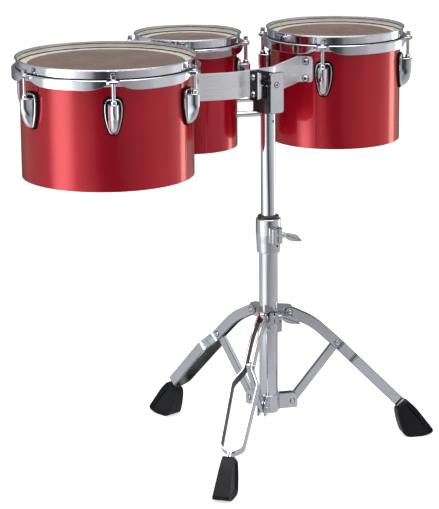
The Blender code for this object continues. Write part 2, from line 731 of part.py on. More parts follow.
def left_arm_mesh():
    """Shell flange, gently curved plate, sharp bend and inner flange with its black washer plate."""
    far, near, middle, out = seat_line(DRUMS["left"], LEFT_SEAT_ANGLE, -1.0)
    end = Vector((LEFT_FLANGE_X, LEFT_FLANGE_REAR))
    run = end.x - far.x
    curve = []
    for i in range(1, LEFT_CURVE_STEPS):
        t = i / LEFT_CURVE_STEPS
        y = (
            (2 * t**3 - 3 * t**2 + 1) * far.y + (t**3 - 2 * t**2 + t) * run * LEFT_BEND_SLOPE
            + (3 * t**2 - 2 * t**3) * end.y + (t**3 - t**2) * run * LEFT_END_SLOPE
        )
        curve.append((far.x + run * t, y))
    path = [near, far, *curve, end, (LEFT_FLANGE_X, LEFT_FLANGE_FRONT)]
    arm = bar(path, ARM_BOTTOM, ARM_TOP, ARM_THICK, (ARM_CORNER, 0.0))
    plate_x = LEFT_FLANGE_X - ARM_THICK / 2.0
    plate = box(
        (plate_x - WASHER_PLATE_THICK, plate_x + OVERLAP),
        (WASHER_PLATE_Y - WASHER_PLATE_HALF, WASHER_PLATE_Y + WASHER_PLATE_HALF),
        (ARM_BOTTOM - WASHER_PLATE_OVER, ARM_TOP + WASHER_PLATE_OVER),
    )
    bolts = []
    for rise in WASHER_BOLTS:
        bolt = domed_bolt(WASHER_BOLT_RADIUS, ARM_BOLT_HEIGHT)
        place = (plate_x - WASHER_PLATE_THICK, WASHER_PLATE_Y, ARM_BOTTOM + rise)
        bolts.append(moved(bolt, lying(place, 180.0)))
    return joined(arm, plate, *bolts, *seat_bolts(middle, out, LEFT_SEAT_ANGLE))


def right_arm_mesh():
    """Plate behind the receiver, slanted arm and the flange with rounded corners on the right shell."""
    far, near, middle, out = seat_line(DRUMS["right"], RIGHT_SEAT_ANGLE, 1.0)
    y = receiver_back() + GAP + ARM_THICK / 2.0
    path = [(RIGHT_PLATE_START, y), (RIGHT_PLATE_END, y), far, near]
    arm = bar(path, ARM_BOTTOM, ARM_TOP, ARM_THICK, (0.0, ARM_CORNER))
    return joined(arm, *seat_bolts(middle, out, RIGHT_SEAT_ANGLE))


def receiver_back():
    """Rear face of the receiver's back wall."""
    return UPPER_RADIUS + GAP + BACK_THICK


def receiver_mesh():
    """Round-cornered face, lower block bored for the tube, right and back walls and the ear for the left arm."""
    back = receiver_back()
    inner_back = back - BACK_THICK
    face_outline = rounded(
        [(RECEIVER_LEFT, RECEIVER_BOTTOM), (RECEIVER_RIGHT, RECEIVER_BOTTOM),
         (RECEIVER_RIGHT, RECEIVER_TOP), (RECEIVER_LEFT, RECEIVER_TOP)],
        [RECEIVER_CORNER] * 4,
    )
    face_back = RECEIVER_FRONT + RECEIVER_FACE_THICK
    face = skin([[(x, y, z) for x, z in face_outline] for y in (RECEIVER_FRONT, face_back)])
    block = prism(
        rounded(
            [(BLOCK_LEFT, face_back - OVERLAP), (RECEIVER_RIGHT - OVERLAP, face_back - OVERLAP),
             (RECEIVER_RIGHT - OVERLAP, back), (BLOCK_LEFT, back)],
            [RECEIVER_CORNER, 0.0, 0.0, RECEIVER_CORNER],
        ),
        RECEIVER_BOTTOM + OVERLAP, BLOCK_TOP,
    )
    wall_left = UPPER_RADIUS + GAP
    right_wall = box(
        (wall_left, RECEIVER_RIGHT - OVERLAP), (face_back - OVERLAP, back - OVERLAP / 2.0),
        (BLOCK_TOP - OVERLAP, RECEIVER_TOP - RECEIVER_CORNER),
    )
    back_wall = box(
        (EAR_LEFT, RECEIVER_RIGHT - OVERLAP * 2.0), (inner_back, back - OVERLAP / 4.0),
        (BLOCK_TOP - OVERLAP, ARM_TOP),
    )
    ear = box((EAR_LEFT + OVERLAP / 5.0, EAR_LEFT + EAR_THICK), (EAR_FRONT, inner_back + OVERLAP),
              (BLOCK_TOP + OVERLAP, ARM_TOP - OVERLAP))
    bolt = domed_bolt(FACE_BOLT_RADIUS, FACE_BOLT_PROUD)
    bolt = moved(bolt, lying((0.0, RECEIVER_FRONT, BLOCK_TOP + FACE_BOLT_RISE), -90.0))
    tube_bore = turned(
        [(UPPER_RADIUS + GAP, RECEIVER_BOTTOM - OVERLAP), (UPPER_RADIUS + GAP, ARM_TOP + OVERLAP)], TUBE_SIDES
    )
    screw_bore = turned(
        [(SCREW_RADIUS + GAP, BLOCK_TOP - SCREW_DEPTH - GAP), (SCREW_RADIUS + GAP, BLOCK_TOP + OVERLAP)], BOLT_SIDES
    )
    whole = joined(face, block, right_wall, back_wall, ear, bolt)
    return cut(whole, tube_bore, moved(screw_bore, shifted(SCREW_X, SCREW_Y, 0.0)))


def receiver_screw_mesh():
    """An upright black screw: shank, domed knob and two wings. Its origin lies on its own axis."""
    bottom, top = BLOCK_TOP - SCREW_DEPTH, BLOCK_TOP + SCREW_KNOB_TOP
    low, high = BLOCK_TOP + SCREW_WING_LOW, BLOCK_TOP + SCREW_WING_HIGH
    shank = turned(
        [(SCREW_RADIUS, bottom), (SCREW_RADIUS, low), (SCREW_KNOB_RADIUS, low + GAP),
         (SCREW_KNOB_RADIUS, high), (SCREW_KNOB_TIP, top)],
        BOLT_SIDES,
    )
    outline = rounded(
        [(-SCREW_WING_REACH, low), (SCREW_WING_REACH, low), (SCREW_WING_REACH, high), (-SCREW_WING_REACH, high)],
        [SCREW_WING_CORNER] * 4,
    )
    half = SCREW_WING_THICK / 2.0
    wings = skin([[(x, y, z) for y, z in outline] for x in (-half, half)])
    return joined(shank, wings)


# Tubes and clamps

def clamp_slit(angle, reach, low, high):
    """A thin upright cutter from the tube's bore out through a clamp boss."""
    cutter = box((LOWER_RADIUS - OVERLAP * 2.0, reach + OVERLAP), (-SLIT / 2.0, SLIT / 2.0), (low, high))
    return moved(cutter, turn_about_z(angle))


def boss(angle, reach, half, low, high):
    """A clamp's square boss, from inside the collar's wall outwards."""
    root = LOWER_RADIUS + GAP * 2.0
    outline = rounded(
        [(root, -half), (reach, -half), (reach, half), (root, half)], [0.0, BOSS_CORNER, BOSS_CORNER, 0.0]
    )
    return moved(prism(outline, low, high), turn_about_z(angle))


def bolt_bore(angle, distance, height, reach):
    """A cutter for a clamp bolt, across the boss."""
    cutter = turned([(BOLT_RADIUS + GAP, -reach), (BOLT_RADIUS + GAP, reach)], BOLT_SIDES)
    x, y = polar(distance, angle)
    return moved(cutter, lying((x, y, height), angle + 90.0))


def pivot_bore(pivot, angle, reach):
    """A cutter for a pivot pin at a (distance, height), across the direction of the angle."""
    cutter = turned([(LEG_PIN_RADIUS + BORE_GAP, -reach), (LEG_PIN_RADIUS + BORE_GAP, reach)], PIN_SIDES)
    x, y = polar(pivot[0], angle)
    return moved(cutter, lying((x, y, pivot[1]), angle + 90.0))


def lower_tube_mesh():
    inner = LOWER_RADIUS - LOWER_WALL
    return ring_of(
        [(inner, LOWER_BOTTOM), (LOWER_RADIUS, LOWER_BOTTOM), (LOWER_RADIUS, LOWER_TOP), (inner, LOWER_TOP)],
        TUBE_SIDES,
    )


def upper_tube_mesh():
    """A tube closed at its top end, open below, with one small locating hole near the receiver."""
    inner = UPPER_RADIUS - UPPER_WALL
    tube = turned(
        [(inner, UPPER_TOP - CAP_THICK), (inner, UPPER_BOTTOM), (UPPER_RADIUS, UPPER_BOTTOM),
         (UPPER_RADIUS, UPPER_TOP - OVERLAP), (UPPER_RADIUS - OVERLAP, UPPER_TOP)],
        TUBE_SIDES,
    )
    drill = turned([(MEMORY_HOLE_RADIUS, inner - OVERLAP), (MEMORY_HOLE_RADIUS, UPPER_RADIUS + OVERLAP)], PIN_SIDES)
    return cut(tube, moved(drill, lying((0.0, 0.0, RECEIVER_BOTTOM - MEMORY_HOLE_DROP), MEMORY_HOLE_ANGLE)))


def clamp_bolt_height():
    """Middle of the height clamp's boss."""
    return LOWER_TOP + (CLAMP_BOSS_ABOVE - CLAMP_BOSS_BELOW) / 2.0


def collar_bolt_height():
    """Middle of the leg collar's boss."""
    return COLLAR_BOTTOM + GAP + COLLAR_BOSS_HEIGHT / 2.0


def height_clamp_mesh():
    """A barrel round the lower tube's end with a bushing for the upper tube, a split boss and its bolt bore."""
    low, middle, high = (LOWER_RADIUS + wall for wall in CLAMP_WALLS)
    sleeve = LOWER_RADIUS + GAP
    bushing_bore = UPPER_RADIUS + GAP
    step = LOWER_TOP + GAP
    bushing = UPPER_RADIUS + BUSHING_WALL
    profile = [
        (sleeve, CLAMP_BOTTOM), (low, CLAMP_BOTTOM), (middle, LOWER_TOP + CLAMP_WAIST), (high, CLAMP_TOP),
        (bushing, CLAMP_TOP), (bushing, CLAMP_TOP + BUSHING_PROUD), (bushing_bore, CLAMP_TOP + BUSHING_PROUD),
        (bushing_bore, step), (sleeve, step),
    ]
    boss_low, boss_high = LOWER_TOP - CLAMP_BOSS_BELOW, LOWER_TOP + CLAMP_BOSS_ABOVE
    whole = joined(
        ring_of(profile, TUBE_SIDES), boss(CLAMP_BOSS_ANGLE, CLAMP_BOSS_REACH, CLAMP_BOSS_HALF, boss_low, boss_high)
    )
    slit = clamp_slit(CLAMP_BOSS_ANGLE, CLAMP_BOSS_REACH, CLAMP_BOTTOM - OVERLAP, boss_high + OVERLAP)
    bore = bolt_bore(CLAMP_BOSS_ANGLE, CLAMP_BOLT_R, clamp_bolt_height(), CLAMP_BOSS_HALF + OVERLAP)
    return cut(whole, slit, bore)


def wing_bolt_mesh(boss_half):
    """A clamp bolt along +X from the slit: shank through the boss, hub and one drooping leaf-shaped wing."""
    start = boss_half + GAP
    shank = turned(
        [(BOLT_RADIUS, -BOLT_TAIL), (BOLT_RADIUS, start), (HUB_RADIUS, start), (HUB_END_RADIUS, start + HUB_LENGTH)],
        BOLT_SIDES,
    )
    root = start + HUB_LENGTH / 2.0
    rings = []
    for along, down, share in WING_SPINE:
        x, z = root + (start + WING_LENGTH - root) * along, -WING_DROP * down
        half, thick = WING_HALF * share, WING_THICK / 2.0 * (WING_THIN + (1.0 - WING_THIN) * share)
        rings.append(
            [(x, -thick, z - half / 2.0), (x, 0.0, z - half), (x, thick, z - half / 2.0),
             (x, thick, z + half / 2.0), (x, 0.0, z + half), (x, -thick, z + half / 2.0)]
        )
    return joined(moved(shank, lying((0.0, 0.0, 0.0))), skin(rings))


def leg_collar_mesh():
    """Sliding sleeve with a star plate over three ears for the legs, and a split clamp boss. z = 0 is the pivots."""
    pivot_r, pivot_z = LEG_PIVOT
    inner, outer = LOWER_RADIUS + GAP, LOWER_RADIUS + COLLAR_WALL
    low, high = COLLAR_BOTTOM, COLLAR_TOP - OVERLAP
    sleeve = ring_of([(inner, low), (outer, low), (outer, high), (inner, high)], TUBE_SIDES)
    star = []
    for angle in sorted(LEG_ANGLES.values()):
        star += [polar(pivot_r + STAR_OVER, angle + turn) for turn in (-STAR_TIP_ANGLE, STAR_TIP_ANGLE)]
        star.append(polar(outer + STAR_WAIST, angle + 180.0 / len(LEG_ANGLES)))
    plate = prism(star, COLLAR_TOP - STAR_THICK, COLLAR_TOP)
    ears, bores = [], []
    for angle in LEG_ANGLES.values():
        low, high = COLLAR_BOTTOM + OVERLAP, COLLAR_TOP - STAR_THICK + OVERLAP
        root, end = LOWER_RADIUS + OVERLAP, pivot_r + LEG_EAR_OVER
        outline = rounded(
            [(root, low), (end, low), (end, high), (root, high)], [0.0, LEG_EAR_CORNER, LEG_EAR_CORNER, 0.0]
        )
        ear = skin([[(x, y, z) for x, z in outline] for y in (-LEG_EAR_HALF, LEG_EAR_HALF)])
        ears.append(moved(ear, turn_about_z(angle)))
        bores.append(pivot_bore(LEG_PIVOT, angle, LEG_EAR_HALF + OVERLAP))
    boss_low, boss_high = COLLAR_BOTTOM + GAP, COLLAR_BOTTOM + GAP + COLLAR_BOSS_HEIGHT
    clamp = boss(COLLAR_BOSS_ANGLE, COLLAR_BOSS_REACH, COLLAR_BOSS_HALF, boss_low, boss_high)
    whole = joined(sleeve, plate, *ears, clamp)
    tube = turned([(inner, COLLAR_BOTTOM - OVERLAP), (inner, COLLAR_TOP + OVERLAP)], TUBE_SIDES)
    slit = clamp_slit(COLLAR_BOSS_ANGLE, COLLAR_BOSS_REACH, COLLAR_BOTTOM - OVERLAP, boss_high + OVERLAP)
    bore = bolt_bore(COLLAR_BOSS_ANGLE, COLLAR_BOLT_R, collar_bolt_height(), COLLAR_BOSS_HALF + OVERLAP)
    return moved(cut(whole, tube, slit, bore, *bores), shifted(0.0, 0.0, -pivot_z))


def memory_lock_mesh():
    """A stop ring with a small boss and the head of its key bolt."""
    inner, outer = LOWER_RADIUS + GAP, LOWER_RADIUS + LOCK_WALL
    ring = ring_of([(inner, LOCK_BOTTOM), (outer, LOCK_BOTTOM), (outer, LOCK_TOP), (inner, LOCK_TOP)], TUBE_SIDES)
    knuckle = boss(LOCK_BOSS_ANGLE, LOCK_BOSS_REACH, LOCK_BOSS_HALF, LOCK_BOTTOM + OVERLAP, LOCK_TOP - OVERLAP)
    bolt = turned([(LOCK_BOLT_RADIUS, LOWER_RADIUS + OVERLAP), (LOCK_BOLT_RADIUS, LOCK_BOLT_REACH)], PIN_SIDES)
    return joined(ring, knuckle, moved(bolt, lying((0.0, 0.0, (LOCK_BOTTOM + LOCK_TOP) / 2.0), LOCK_BOLT_ANGLE)))


def strut_collar_mesh():
    """The fixed collar at the tube's foot, with a pair of plates for each strut."""
    inner, outer = LOWER_RADIUS + GAP, LOWER_RADIUS + STRUT_COLLAR_WALL
    low, high = STRUT_COLLAR_BOTTOM, STRUT_COLLAR_TOP
    ring = ring_of([(inner, low), (outer, low), (outer, high), (inner, high)], TUBE_SIDES)
    root, end = LOWER_RADIUS + OVERLAP, STRUT_PIVOT[0] + STRUT_EAR_OVER
    low, high = low + OVERLAP / 2.0, high - OVERLAP / 2.0
    plates, bores = [], []
    for angle in LEG_ANGLES.values():
        outline = rounded(
            [(root, low), (end, low), (end, high), (root, high)], [0.0, 0.0, STRUT_EAR_CORNER, 0.0]
        )
        for side in (-1.0, 1.0):
            faces = (side * STRUT_EAR_INNER, side * (STRUT_EAR_INNER + STRUT_EAR_THICK))
            plate = skin([[(x, y, z) for x, z in outline] for y in faces])
            plates.append(moved(plate, turn_about_z(angle)))
        bores.append(pivot_bore(STRUT_PIVOT, angle, STRUT_EAR_INNER + STRUT_EAR_THICK + OVERLAP))
    return cut(joined(ring, *plates), *bores)


# Tripod: meshes lie in the X-Z plane with their pivot as origin and the leg's direction on +X

def leg_line():
    """Stations of a strap as (distance, height, distance from the leg's middle), from pivot to shoe."""
    ax, az = LEG_PIVOT
    bend = Vector(LEG_BEND)
    upper = (bend - Vector(LEG_PIVOT)).normalized()
    lower = (Vector(MID_PIVOT) - bend).normalized()
    line = [(ax, az, STRAP_NEAR)]
    start, end = bend - upper * BEND_RUN, bend + lower * BEND_RUN
    for i in range(BEND_STEPS + 1):
        t = i / BEND_STEPS
        point = start * (1 - t) ** 2 + bend * 2 * t * (1 - t) + end * t**2
        line.append((point.x, point.y, STRAP_NEAR))
    fall = (SHOE_ENTRY[1] - MID_PIVOT[1]) / (SHOE_ENTRY[0] - MID_PIVOT[0])
    spread_from = MID_PIVOT[0] + SPREAD_START
    for x, spread in ((spread_from, STRAP_NEAR), (spread_from + SPREAD_RUN, STRAP_WIDE),
                      (SHOE_ENTRY[0] - CLOSE_RUN, STRAP_LOW), (SHOE_ENTRY[0] - TIP_LENGTH / 2.0, STRAP_MEET),
                      (SHOE_ENTRY[0], STRAP_MEET)):
        line.append((x, MID_PIVOT[1] + (x - MID_PIVOT[0]) * fall, spread))
    return line


def strap_mesh(side):
    """One flat strap: round end at the pivot, dog-leg bend, spread beyond the strut and a closing end."""
    line = leg_line()
    half = STRAP_DEPTH / 2.0
    first = Vector(line[0][:2])
    direction = (Vector(line[1][:2]) - first).normalized()
    stations = []
    for turn in (75.0, 45.0):
        share = math.sin(math.radians(turn))
        point = first - direction * half * share
        stations.append((point.x, point.y, line[0][2], half * math.sqrt(1.0 - share**2)))
    stations += [(x, z, spread, half) for x, z, spread in line]
    rings = []
    for i, (x, z, spread, depth) in enumerate(stations):
        before = Vector(stations[max(i - 1, 0)][:2])
        after = Vector(stations[min(i + 1, len(stations) - 1)][:2])
        along = (after - before).normalized()
        across = Vector((-along.y, along.x)) * depth
        low, high = side * (spread - STRAP_THICK / 2.0), side * (spread + STRAP_THICK / 2.0)
        rings.append(
            [(x + across.x, low, z + across.y), (x - across.x, low, z - across.y),
             (x - across.x, high, z - across.y), (x + across.x, high, z + across.y)]
        )
    return skin(rings)


def shoe_direction():
    """Direction of the leg where it enters the shoe."""
    return (Vector(SHOE_ENTRY) - Vector(MID_PIVOT)).normalized()


def tip_mesh(back, clearance):
    """The block in which a leg's straps end, inside the shoe; with a clearance it is the shoe's pocket."""
    along = shoe_direction()
    across = Vector((-along.y, along.x))
    half = TIP_DEPTH / 2.0 + clearance
    wide = STRAP_MEET + STRAP_THICK / 2.0 + clearance
    start = Vector(SHOE_ENTRY) - along * back
    end = Vector(SHOE_ENTRY) + along * (TIP_LENGTH + clearance)
    rings = []
    for point in (start, end):
        high, low = point + across * half, point - across * half
        rings.append([(high.x, -wide, high.y), (low.x, -wide, low.y), (low.x, wide, low.y), (high.x, wide, high.y)])
    return skin(rings)


def leg_mesh():
    """Two straps on one pivot pin, with rivet heads at the strut's pivot, ending in the tip block."""
    reach = STRAP_NEAR + STRAP_THICK / 2.0
    pin = turned([(LEG_PIN_RADIUS, -reach - LEG_PIN_PROUD), (LEG_PIN_RADIUS, reach + LEG_PIN_PROUD)], PIN_SIDES)
    pin = moved(pin, lying((LEG_PIVOT[0], 0.0, LEG_PIVOT[1]), 90.0))
    rivets = []
    for side in (-1.0, 1.0):
        rivet = turned([(RIVET_RADIUS, reach - OVERLAP), (RIVET_RADIUS, reach + RIVET_PROUD)], PIN_SIDES)
        rivets.append(moved(rivet, lying((MID_PIVOT[0], 0.0, MID_PIVOT[1]), 90.0 * side)))
    whole = joined(strap_mesh(1.0), strap_mesh(-1.0), tip_mesh(TIP_BACK, 0.0), pin, *rivets)
    return moved(whole, shifted(-LEG_PIVOT[0], 0.0, -LEG_PIVOT[1]))


def shoe_mesh():
    """A rubber shoe with a flat sole, a pointed toe and a pocket for the leg's tip."""
    outline = [Vector(SHOE_ENTRY) + Vector(point) for point in SHOE]
    sole, top = min(point.y for point in outline), max(point.y for point in outline)
    middle = sum(outline, Vector((0.0, 0.0))) / len(outline)

    def ring(side, edge):
        points = []
        for point in outline:
            half = SHOE_SOLE_HALF + (SHOE_TOP_HALF - SHOE_SOLE_HALF) * (point.y - sole) / (top - sole)
            inset = 0.0 if edge else SHOE_EDGE
            spot = middle + (point - middle) * (SHOE_EDGE_SCALE if edge else 1.0)
            points.append((spot.x, side * (half - inset), spot.y))
        return points

    shoe = skin([ring(-1.0, True), ring(-1.0, False), ring(1.0, False), ring(1.0, True)])
    return moved(cut(shoe, tip_mesh(TIP_LENGTH, GAP)), shifted(-LEG_PIVOT[0], 0.0, -LEG_PIVOT[1]))


def strut_mesh():
    """A flat bar with round ends, carrying its lower pivot pin; the upper end lies free between the straps."""
    start, end = Vector(STRUT_PIVOT), Vector(MID_PIVOT)
    along = (end - start).normalized()
    outline = []
    for centre, offset in ((end, -90.0), (start, 90.0)):
        for step in range(STRUT_END_STEPS + 1):
            turn = math.radians(offset + 180.0 * step / STRUT_END_STEPS)
            arm = along * math.cos(turn) + Vector((-along.y, along.x)) * math.sin(turn)
            outline.append(centre + arm * STRUT_DEPTH / 2.0)
    flat = skin([[(p.x, y, p.y) for p in outline] for y in (-STRUT_HALF, STRUT_HALF)])
    seat = STRUT_EAR_INNER + STRUT_EAR_THICK + GAP
    pin = turned(
        [(PIN_HEAD_RADIUS, -seat - PIN_HEAD), (PIN_HEAD_RADIUS, -seat), (LEG_PIN_RADIUS, -seat),
         (LEG_PIN_RADIUS, seat), (PIN_HEAD_RADIUS, seat), (PIN_HEAD_RADIUS, seat + PIN_HEAD)],
        PIN_SIDES,
    )
    whole = joined(flat, moved(pin, lying((STRUT_PIVOT[0], 0.0, STRUT_PIVOT[1]), 90.0)))
    return moved(whole, shifted(-STRUT_PIVOT[0], 0.0, -STRUT_PIVOT[1]))


def build_stand(base):
    piece("lower_tube", lower_tube_mesh(), CHROME, base)
    piece("height_clamp", height_clamp_mesh(), CAST, base)
    piece("memory_lock", memory_lock_mesh(), CAST, base)
    piece("strut_collar", strut_collar_mesh(), CAST, base)
    x, y = polar(CLAMP_BOLT_R, CLAMP_BOSS_ANGLE)
    place = (x, y, clamp_bolt_height())
    piece("height_wing_bolt", wing_bolt_mesh(CLAMP_BOSS_HALF), CAST, base, place, CLAMP_BOSS_ANGLE + 90.0)
    collar = piece("leg_collar", leg_collar_mesh(), CAST, base, (0.0, 0.0, LEG_PIVOT[1]))
    x, y = polar(COLLAR_BOLT_R, COLLAR_BOSS_ANGLE)
    place = (x, y, collar_bolt_height() - LEG_PIVOT[1])
    piece("collar_wing_bolt", wing_bolt_mesh(COLLAR_BOSS_HALF), CAST, collar, place, COLLAR_BOSS_ANGLE + 90.0)
    leg, shoe, strut = leg_mesh(), shoe_mesh(), strut_mesh()
    for name, angle in LEG_ANGLES.items():
        x, y = polar(LEG_PIVOT[0], angle)
        made = piece(f"{name}_leg", leg, CHROME, collar, (x, y, 0.0), angle)
        piece(f"{name}_foot", shoe, RUBBER, made)
        x, y = polar(STRUT_PIVOT[0], angle)
        piece(f"{name}_strut", strut, CHROME, base, (x, y, STRUT_PIVOT[1]), angle)


def build_drum_set(carrier):
    rear = DRUMS["rear"]
    to_rear = {name: angle_between(DRUMS[name], rear) for name in ("left", "right")}
    build_drum("left", carrier, [to_rear["left"]])
    build_drum("right", carrier, [to_rear["right"]])
    build_drum("rear", carrier, [to_rear["left"] + 180.0, to_rear["right"] + 180.0])
    for name in ("left", "right"):
        drum = DRUMS[name]
        piece(f"link_{name}", link_mesh(drum, rear), CHROME, carrier, (drum["x"], drum["y"], 0.0), to_rear[name])
    piece("receiver", receiver_mesh(), CAST, carrier)
    piece("left_arm", left_arm_mesh(), ALUMINIUM, carrier)
    piece("right_arm", right_arm_mesh(), ALUMINIUM, carrier)
    piece("receiver_wing_screw", receiver_screw_mesh(), BLACK, carrier, (SCREW_X, SCREW_Y, 0.0))


def stand_on_origin(root):
    """Moves the set so that the bottom centre of its bounding box is the origin."""
    bpy.context.view_layer.update()
    corners = [
        obj.matrix_world @ vertex.co
        for obj in bpy.context.scene.objects if obj.type == "MESH" for vertex in obj.data.vertices
    ]
    low = [min(corner[i] for corner in corners) for i in range(3)]
    high = [max(corner[i] for corner in corners) for i in range(3)]
    root.location = (-(low[0] + high[0]) / 2.0, -(low[1] + high[1]) / 2.0, -low[2])
    bpy.context.view_layer.update()
    print("column axis at", [round(value, 6) for value in root.matrix_world.translation])


for old in list(bpy.data.objects):
    bpy.data.objects.remove(old)

WRAP = material("red_wrap", 175, 28, 45, 0.18, 0.0)
FILM_SURFACE = material("head_film", 205, 196, 180, 0.55, 0.0)
CHROME = material("chrome", 205, 207, 212, 0.12, 1.0)
CAST = material("satin_chrome", 188, 188, 192, 0.28, 1.0)
ALUMINIUM = material("brushed_aluminium", 200, 200, 208, 0.38, 1.0)
RUBBER = material("black_rubber", 35, 35, 40, 0.65, 0.0)
BLACK = material("black_steel", 28, 28, 30, 0.4, 0.8)

ROOT = empty("drum_set")
BASE = empty("stand_base", ROOT)
COLUMN = empty("column_top", ROOT)
CARRIER = empty("drum_carrier", COLUMN)

build_stand(BASE)
piece("upper_tube", upper_tube_mesh(), CHROME, COLUMN)
build_drum_set(CARRIER)
stand_on_origin(ROOT)
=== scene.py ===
# %% [markdown]
# # Three marching toms on a folding stand
# A 10, an 8 and a 6 inch tom hang on one bracket at the top of a chromed tripod. The solid model already
# has every piece in its true place, so this lesson keeps those places and gives each piece its
# photographed surface: rolled rims, cast lugs, bent flat bar and rubber shoes. Loading the model comes
# first. The dressed drums may not outgrow it.

# %% Load the solid model
import json
import math

import bmesh
import bpy
from mathutils import Matrix, Vector


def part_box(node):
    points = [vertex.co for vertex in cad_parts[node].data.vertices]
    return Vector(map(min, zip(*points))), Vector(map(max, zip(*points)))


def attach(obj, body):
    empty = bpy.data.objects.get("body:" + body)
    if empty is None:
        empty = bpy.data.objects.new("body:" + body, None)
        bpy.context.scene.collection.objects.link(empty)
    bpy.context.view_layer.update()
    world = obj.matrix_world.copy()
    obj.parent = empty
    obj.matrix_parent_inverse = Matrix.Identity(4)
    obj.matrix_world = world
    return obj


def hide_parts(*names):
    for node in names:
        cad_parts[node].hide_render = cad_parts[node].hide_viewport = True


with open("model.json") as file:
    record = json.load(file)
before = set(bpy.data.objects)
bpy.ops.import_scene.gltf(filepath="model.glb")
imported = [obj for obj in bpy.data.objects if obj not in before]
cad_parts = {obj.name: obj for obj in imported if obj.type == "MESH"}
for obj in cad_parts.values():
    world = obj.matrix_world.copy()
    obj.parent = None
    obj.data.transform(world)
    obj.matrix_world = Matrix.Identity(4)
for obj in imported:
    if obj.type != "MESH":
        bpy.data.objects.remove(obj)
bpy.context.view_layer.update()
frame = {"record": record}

low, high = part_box("lower_tube")
COLUMN = Matrix.Translation(((low.x + high.x) / 2.0, (low.y + high.y) / 2.0, 0.0))
print("column stands at", [round(value, 4) for value in COLUMN.translation])

# %% [markdown]
# ## Camera
# The drums' ellipses and the tubes in the photograph fit one camera: 3.5 m away, 1.17 m high and looking
# 14 degrees down through a long lens. The long lens is why the rims look like flat, even ellipses. The
# camera leans by half a degree, as the photograph does.

# %% Set the camera
lens = bpy.data.cameras.new("camera")
lens.sensor_width, lens.lens = 36.0, 166.2
camera = bpy.data.objects.new("camera", lens)
bpy.context.scene.collection.objects.link(camera)
pitch, heading = math.radians(14.23), math.radians(37.27)
sight = Vector((math.sin(heading) * math.cos(pitch), math.cos(heading) * math.cos(pitch), -math.sin(pitch)))
lean = Matrix.Rotation(math.radians(-0.45), 4, "Z")
camera.matrix_world = (
    Matrix.Translation((-2.1158, -2.7454, 1.17474)) @ sight.to_track_quat("-Z", "Y").to_matrix().to_4x4() @ lean
)
bpy.context.scene.camera = camera
bpy.context.scene.view_settings.view_transform = "Standard"
print("camera looks along", [round(value, 3) for value in sight])

# %% [markdown]
# ## Node helpers for the finishes
# A finish is one Principled shader with a few texture nodes in front of it. Noise in object space gives
# the small changes of tone and gloss that every real surface has, and a bump from the same kind of noise
# breaks up reflections. Stretching the noise along one axis turns it into brush lines or wood grain.

# %% Shader helpers
class Finish:
    """A material with a Principled shader; each method puts texture in front of one of its sockets."""

    def __init__(self, name, roughness, metallic=0.0, **sockets):
        self.material = bpy.data.materials.new(name)
        self.material.use_nodes = True
        self.tree = self.material.node_tree
        self.shader = self.tree.nodes["Principled BSDF"]
        self.shader.inputs["Roughness"].default_value = roughness
        self.shader.inputs["Metallic"].default_value = metallic
        for socket, value in sockets.items():
            self.shader.inputs[socket.replace("_", " ")].default_value = value
        self.place = self.tree.nodes.new("ShaderNodeTexCoord").outputs["Object"]

    def node(self, kind, **settings):
        made = self.tree.nodes.new("ShaderNode" + kind)
        for key, value in settings.items():
            setattr(made, key, value)
        return made

    def link(self, out, into):
        self.tree.links.new(out, into)

    def noise(self, scale, detail=4.0, stretch=(1.0, 1.0, 1.0)):
        mapping = self.node("Mapping")
        mapping.inputs["Scale"].default_value = stretch
        self.link(self.place, mapping.inputs["Vector"])
        noise = self.node("TexNoise")
        noise.inputs["Scale"].default_value = scale
        noise.inputs["Detail"].default_value = detail
        self.link(mapping.outputs["Vector"], noise.inputs["Vector"])
        return noise.outputs["Fac"]

    def tones(self, value, dark, light, lowest=0.3, highest=0.7):
        ramp = self.node("ValToRGB")
        ramp.color_ramp.elements[0].position, ramp.color_ramp.elements[1].position = lowest, highest
        ramp.color_ramp.elements[0].color, ramp.color_ramp.elements[1].color = (*dark, 1.0), (*light, 1.0)
        self.link(value, ramp.inputs["Fac"])
        self.link(ramp.outputs["Color"], self.shader.inputs["Base Color"])
        return ramp

    def gloss(self, value, lowest, highest):
        spread = self.node("MapRange")
        spread.inputs["From Min"].default_value, spread.inputs["From Max"].default_value = 0.3, 0.7
        spread.inputs["To Min"].default_value, spread.inputs["To Max"].default_value = lowest, highest
        self.link(value, spread.inputs["Value"])
        self.link(spread.outputs["Result"], self.shader.inputs["Roughness"])

    def bump(self, value, strength, distance):
        bump = self.node("Bump")
        bump.inputs["Strength"].default_value, bump.inputs["Distance"].default_value = strength, distance
        self.link(value, bump.inputs["Height"])
        self.link(bump.outputs["Normal"], self.shader.inputs["Normal"])


# %% [markdown]
# ## Red wrap
# The shells wear a glossy sheet with a pearl layer under clear lacquer. The broad salmon band down each
# drum comes from the pearl, which is a rough, half metallic red. The crisp reflections of neighbouring
# parts come from the lacquer, so it is a separate, nearly mirror-smooth coat over the rough base.

# %% Mix the wrap
WRAP = Finish("red_wrap", 0.24, 0.62, Specular_IOR_Level=0.6, Specular_Tint=(1.0, 0.7, 0.4, 1.0), Coat_Weight=0.55,
              Coat_Roughness=0.03, Coat_IOR=1.5)
WRAP.tones(WRAP.noise(9.0, 3.0), (0.385, 0.0035, 0.018), (0.45, 0.005, 0.023))
WRAP.gloss(WRAP.noise(900.0, 2.0), 0.2, 0.27)
WRAP.bump(WRAP.noise(160.0, 1.0), 0.04, 0.0004)

# %% [markdown]
# ## Wood inside the shells
# The shells are thin cross-laid plies. From below one sees the plies as rings on the edge and the grain
# of the innermost ply on the wall. The rings are bands of the distance from the drum's own axis, so each
# drum gets its own wood with that axis in it.

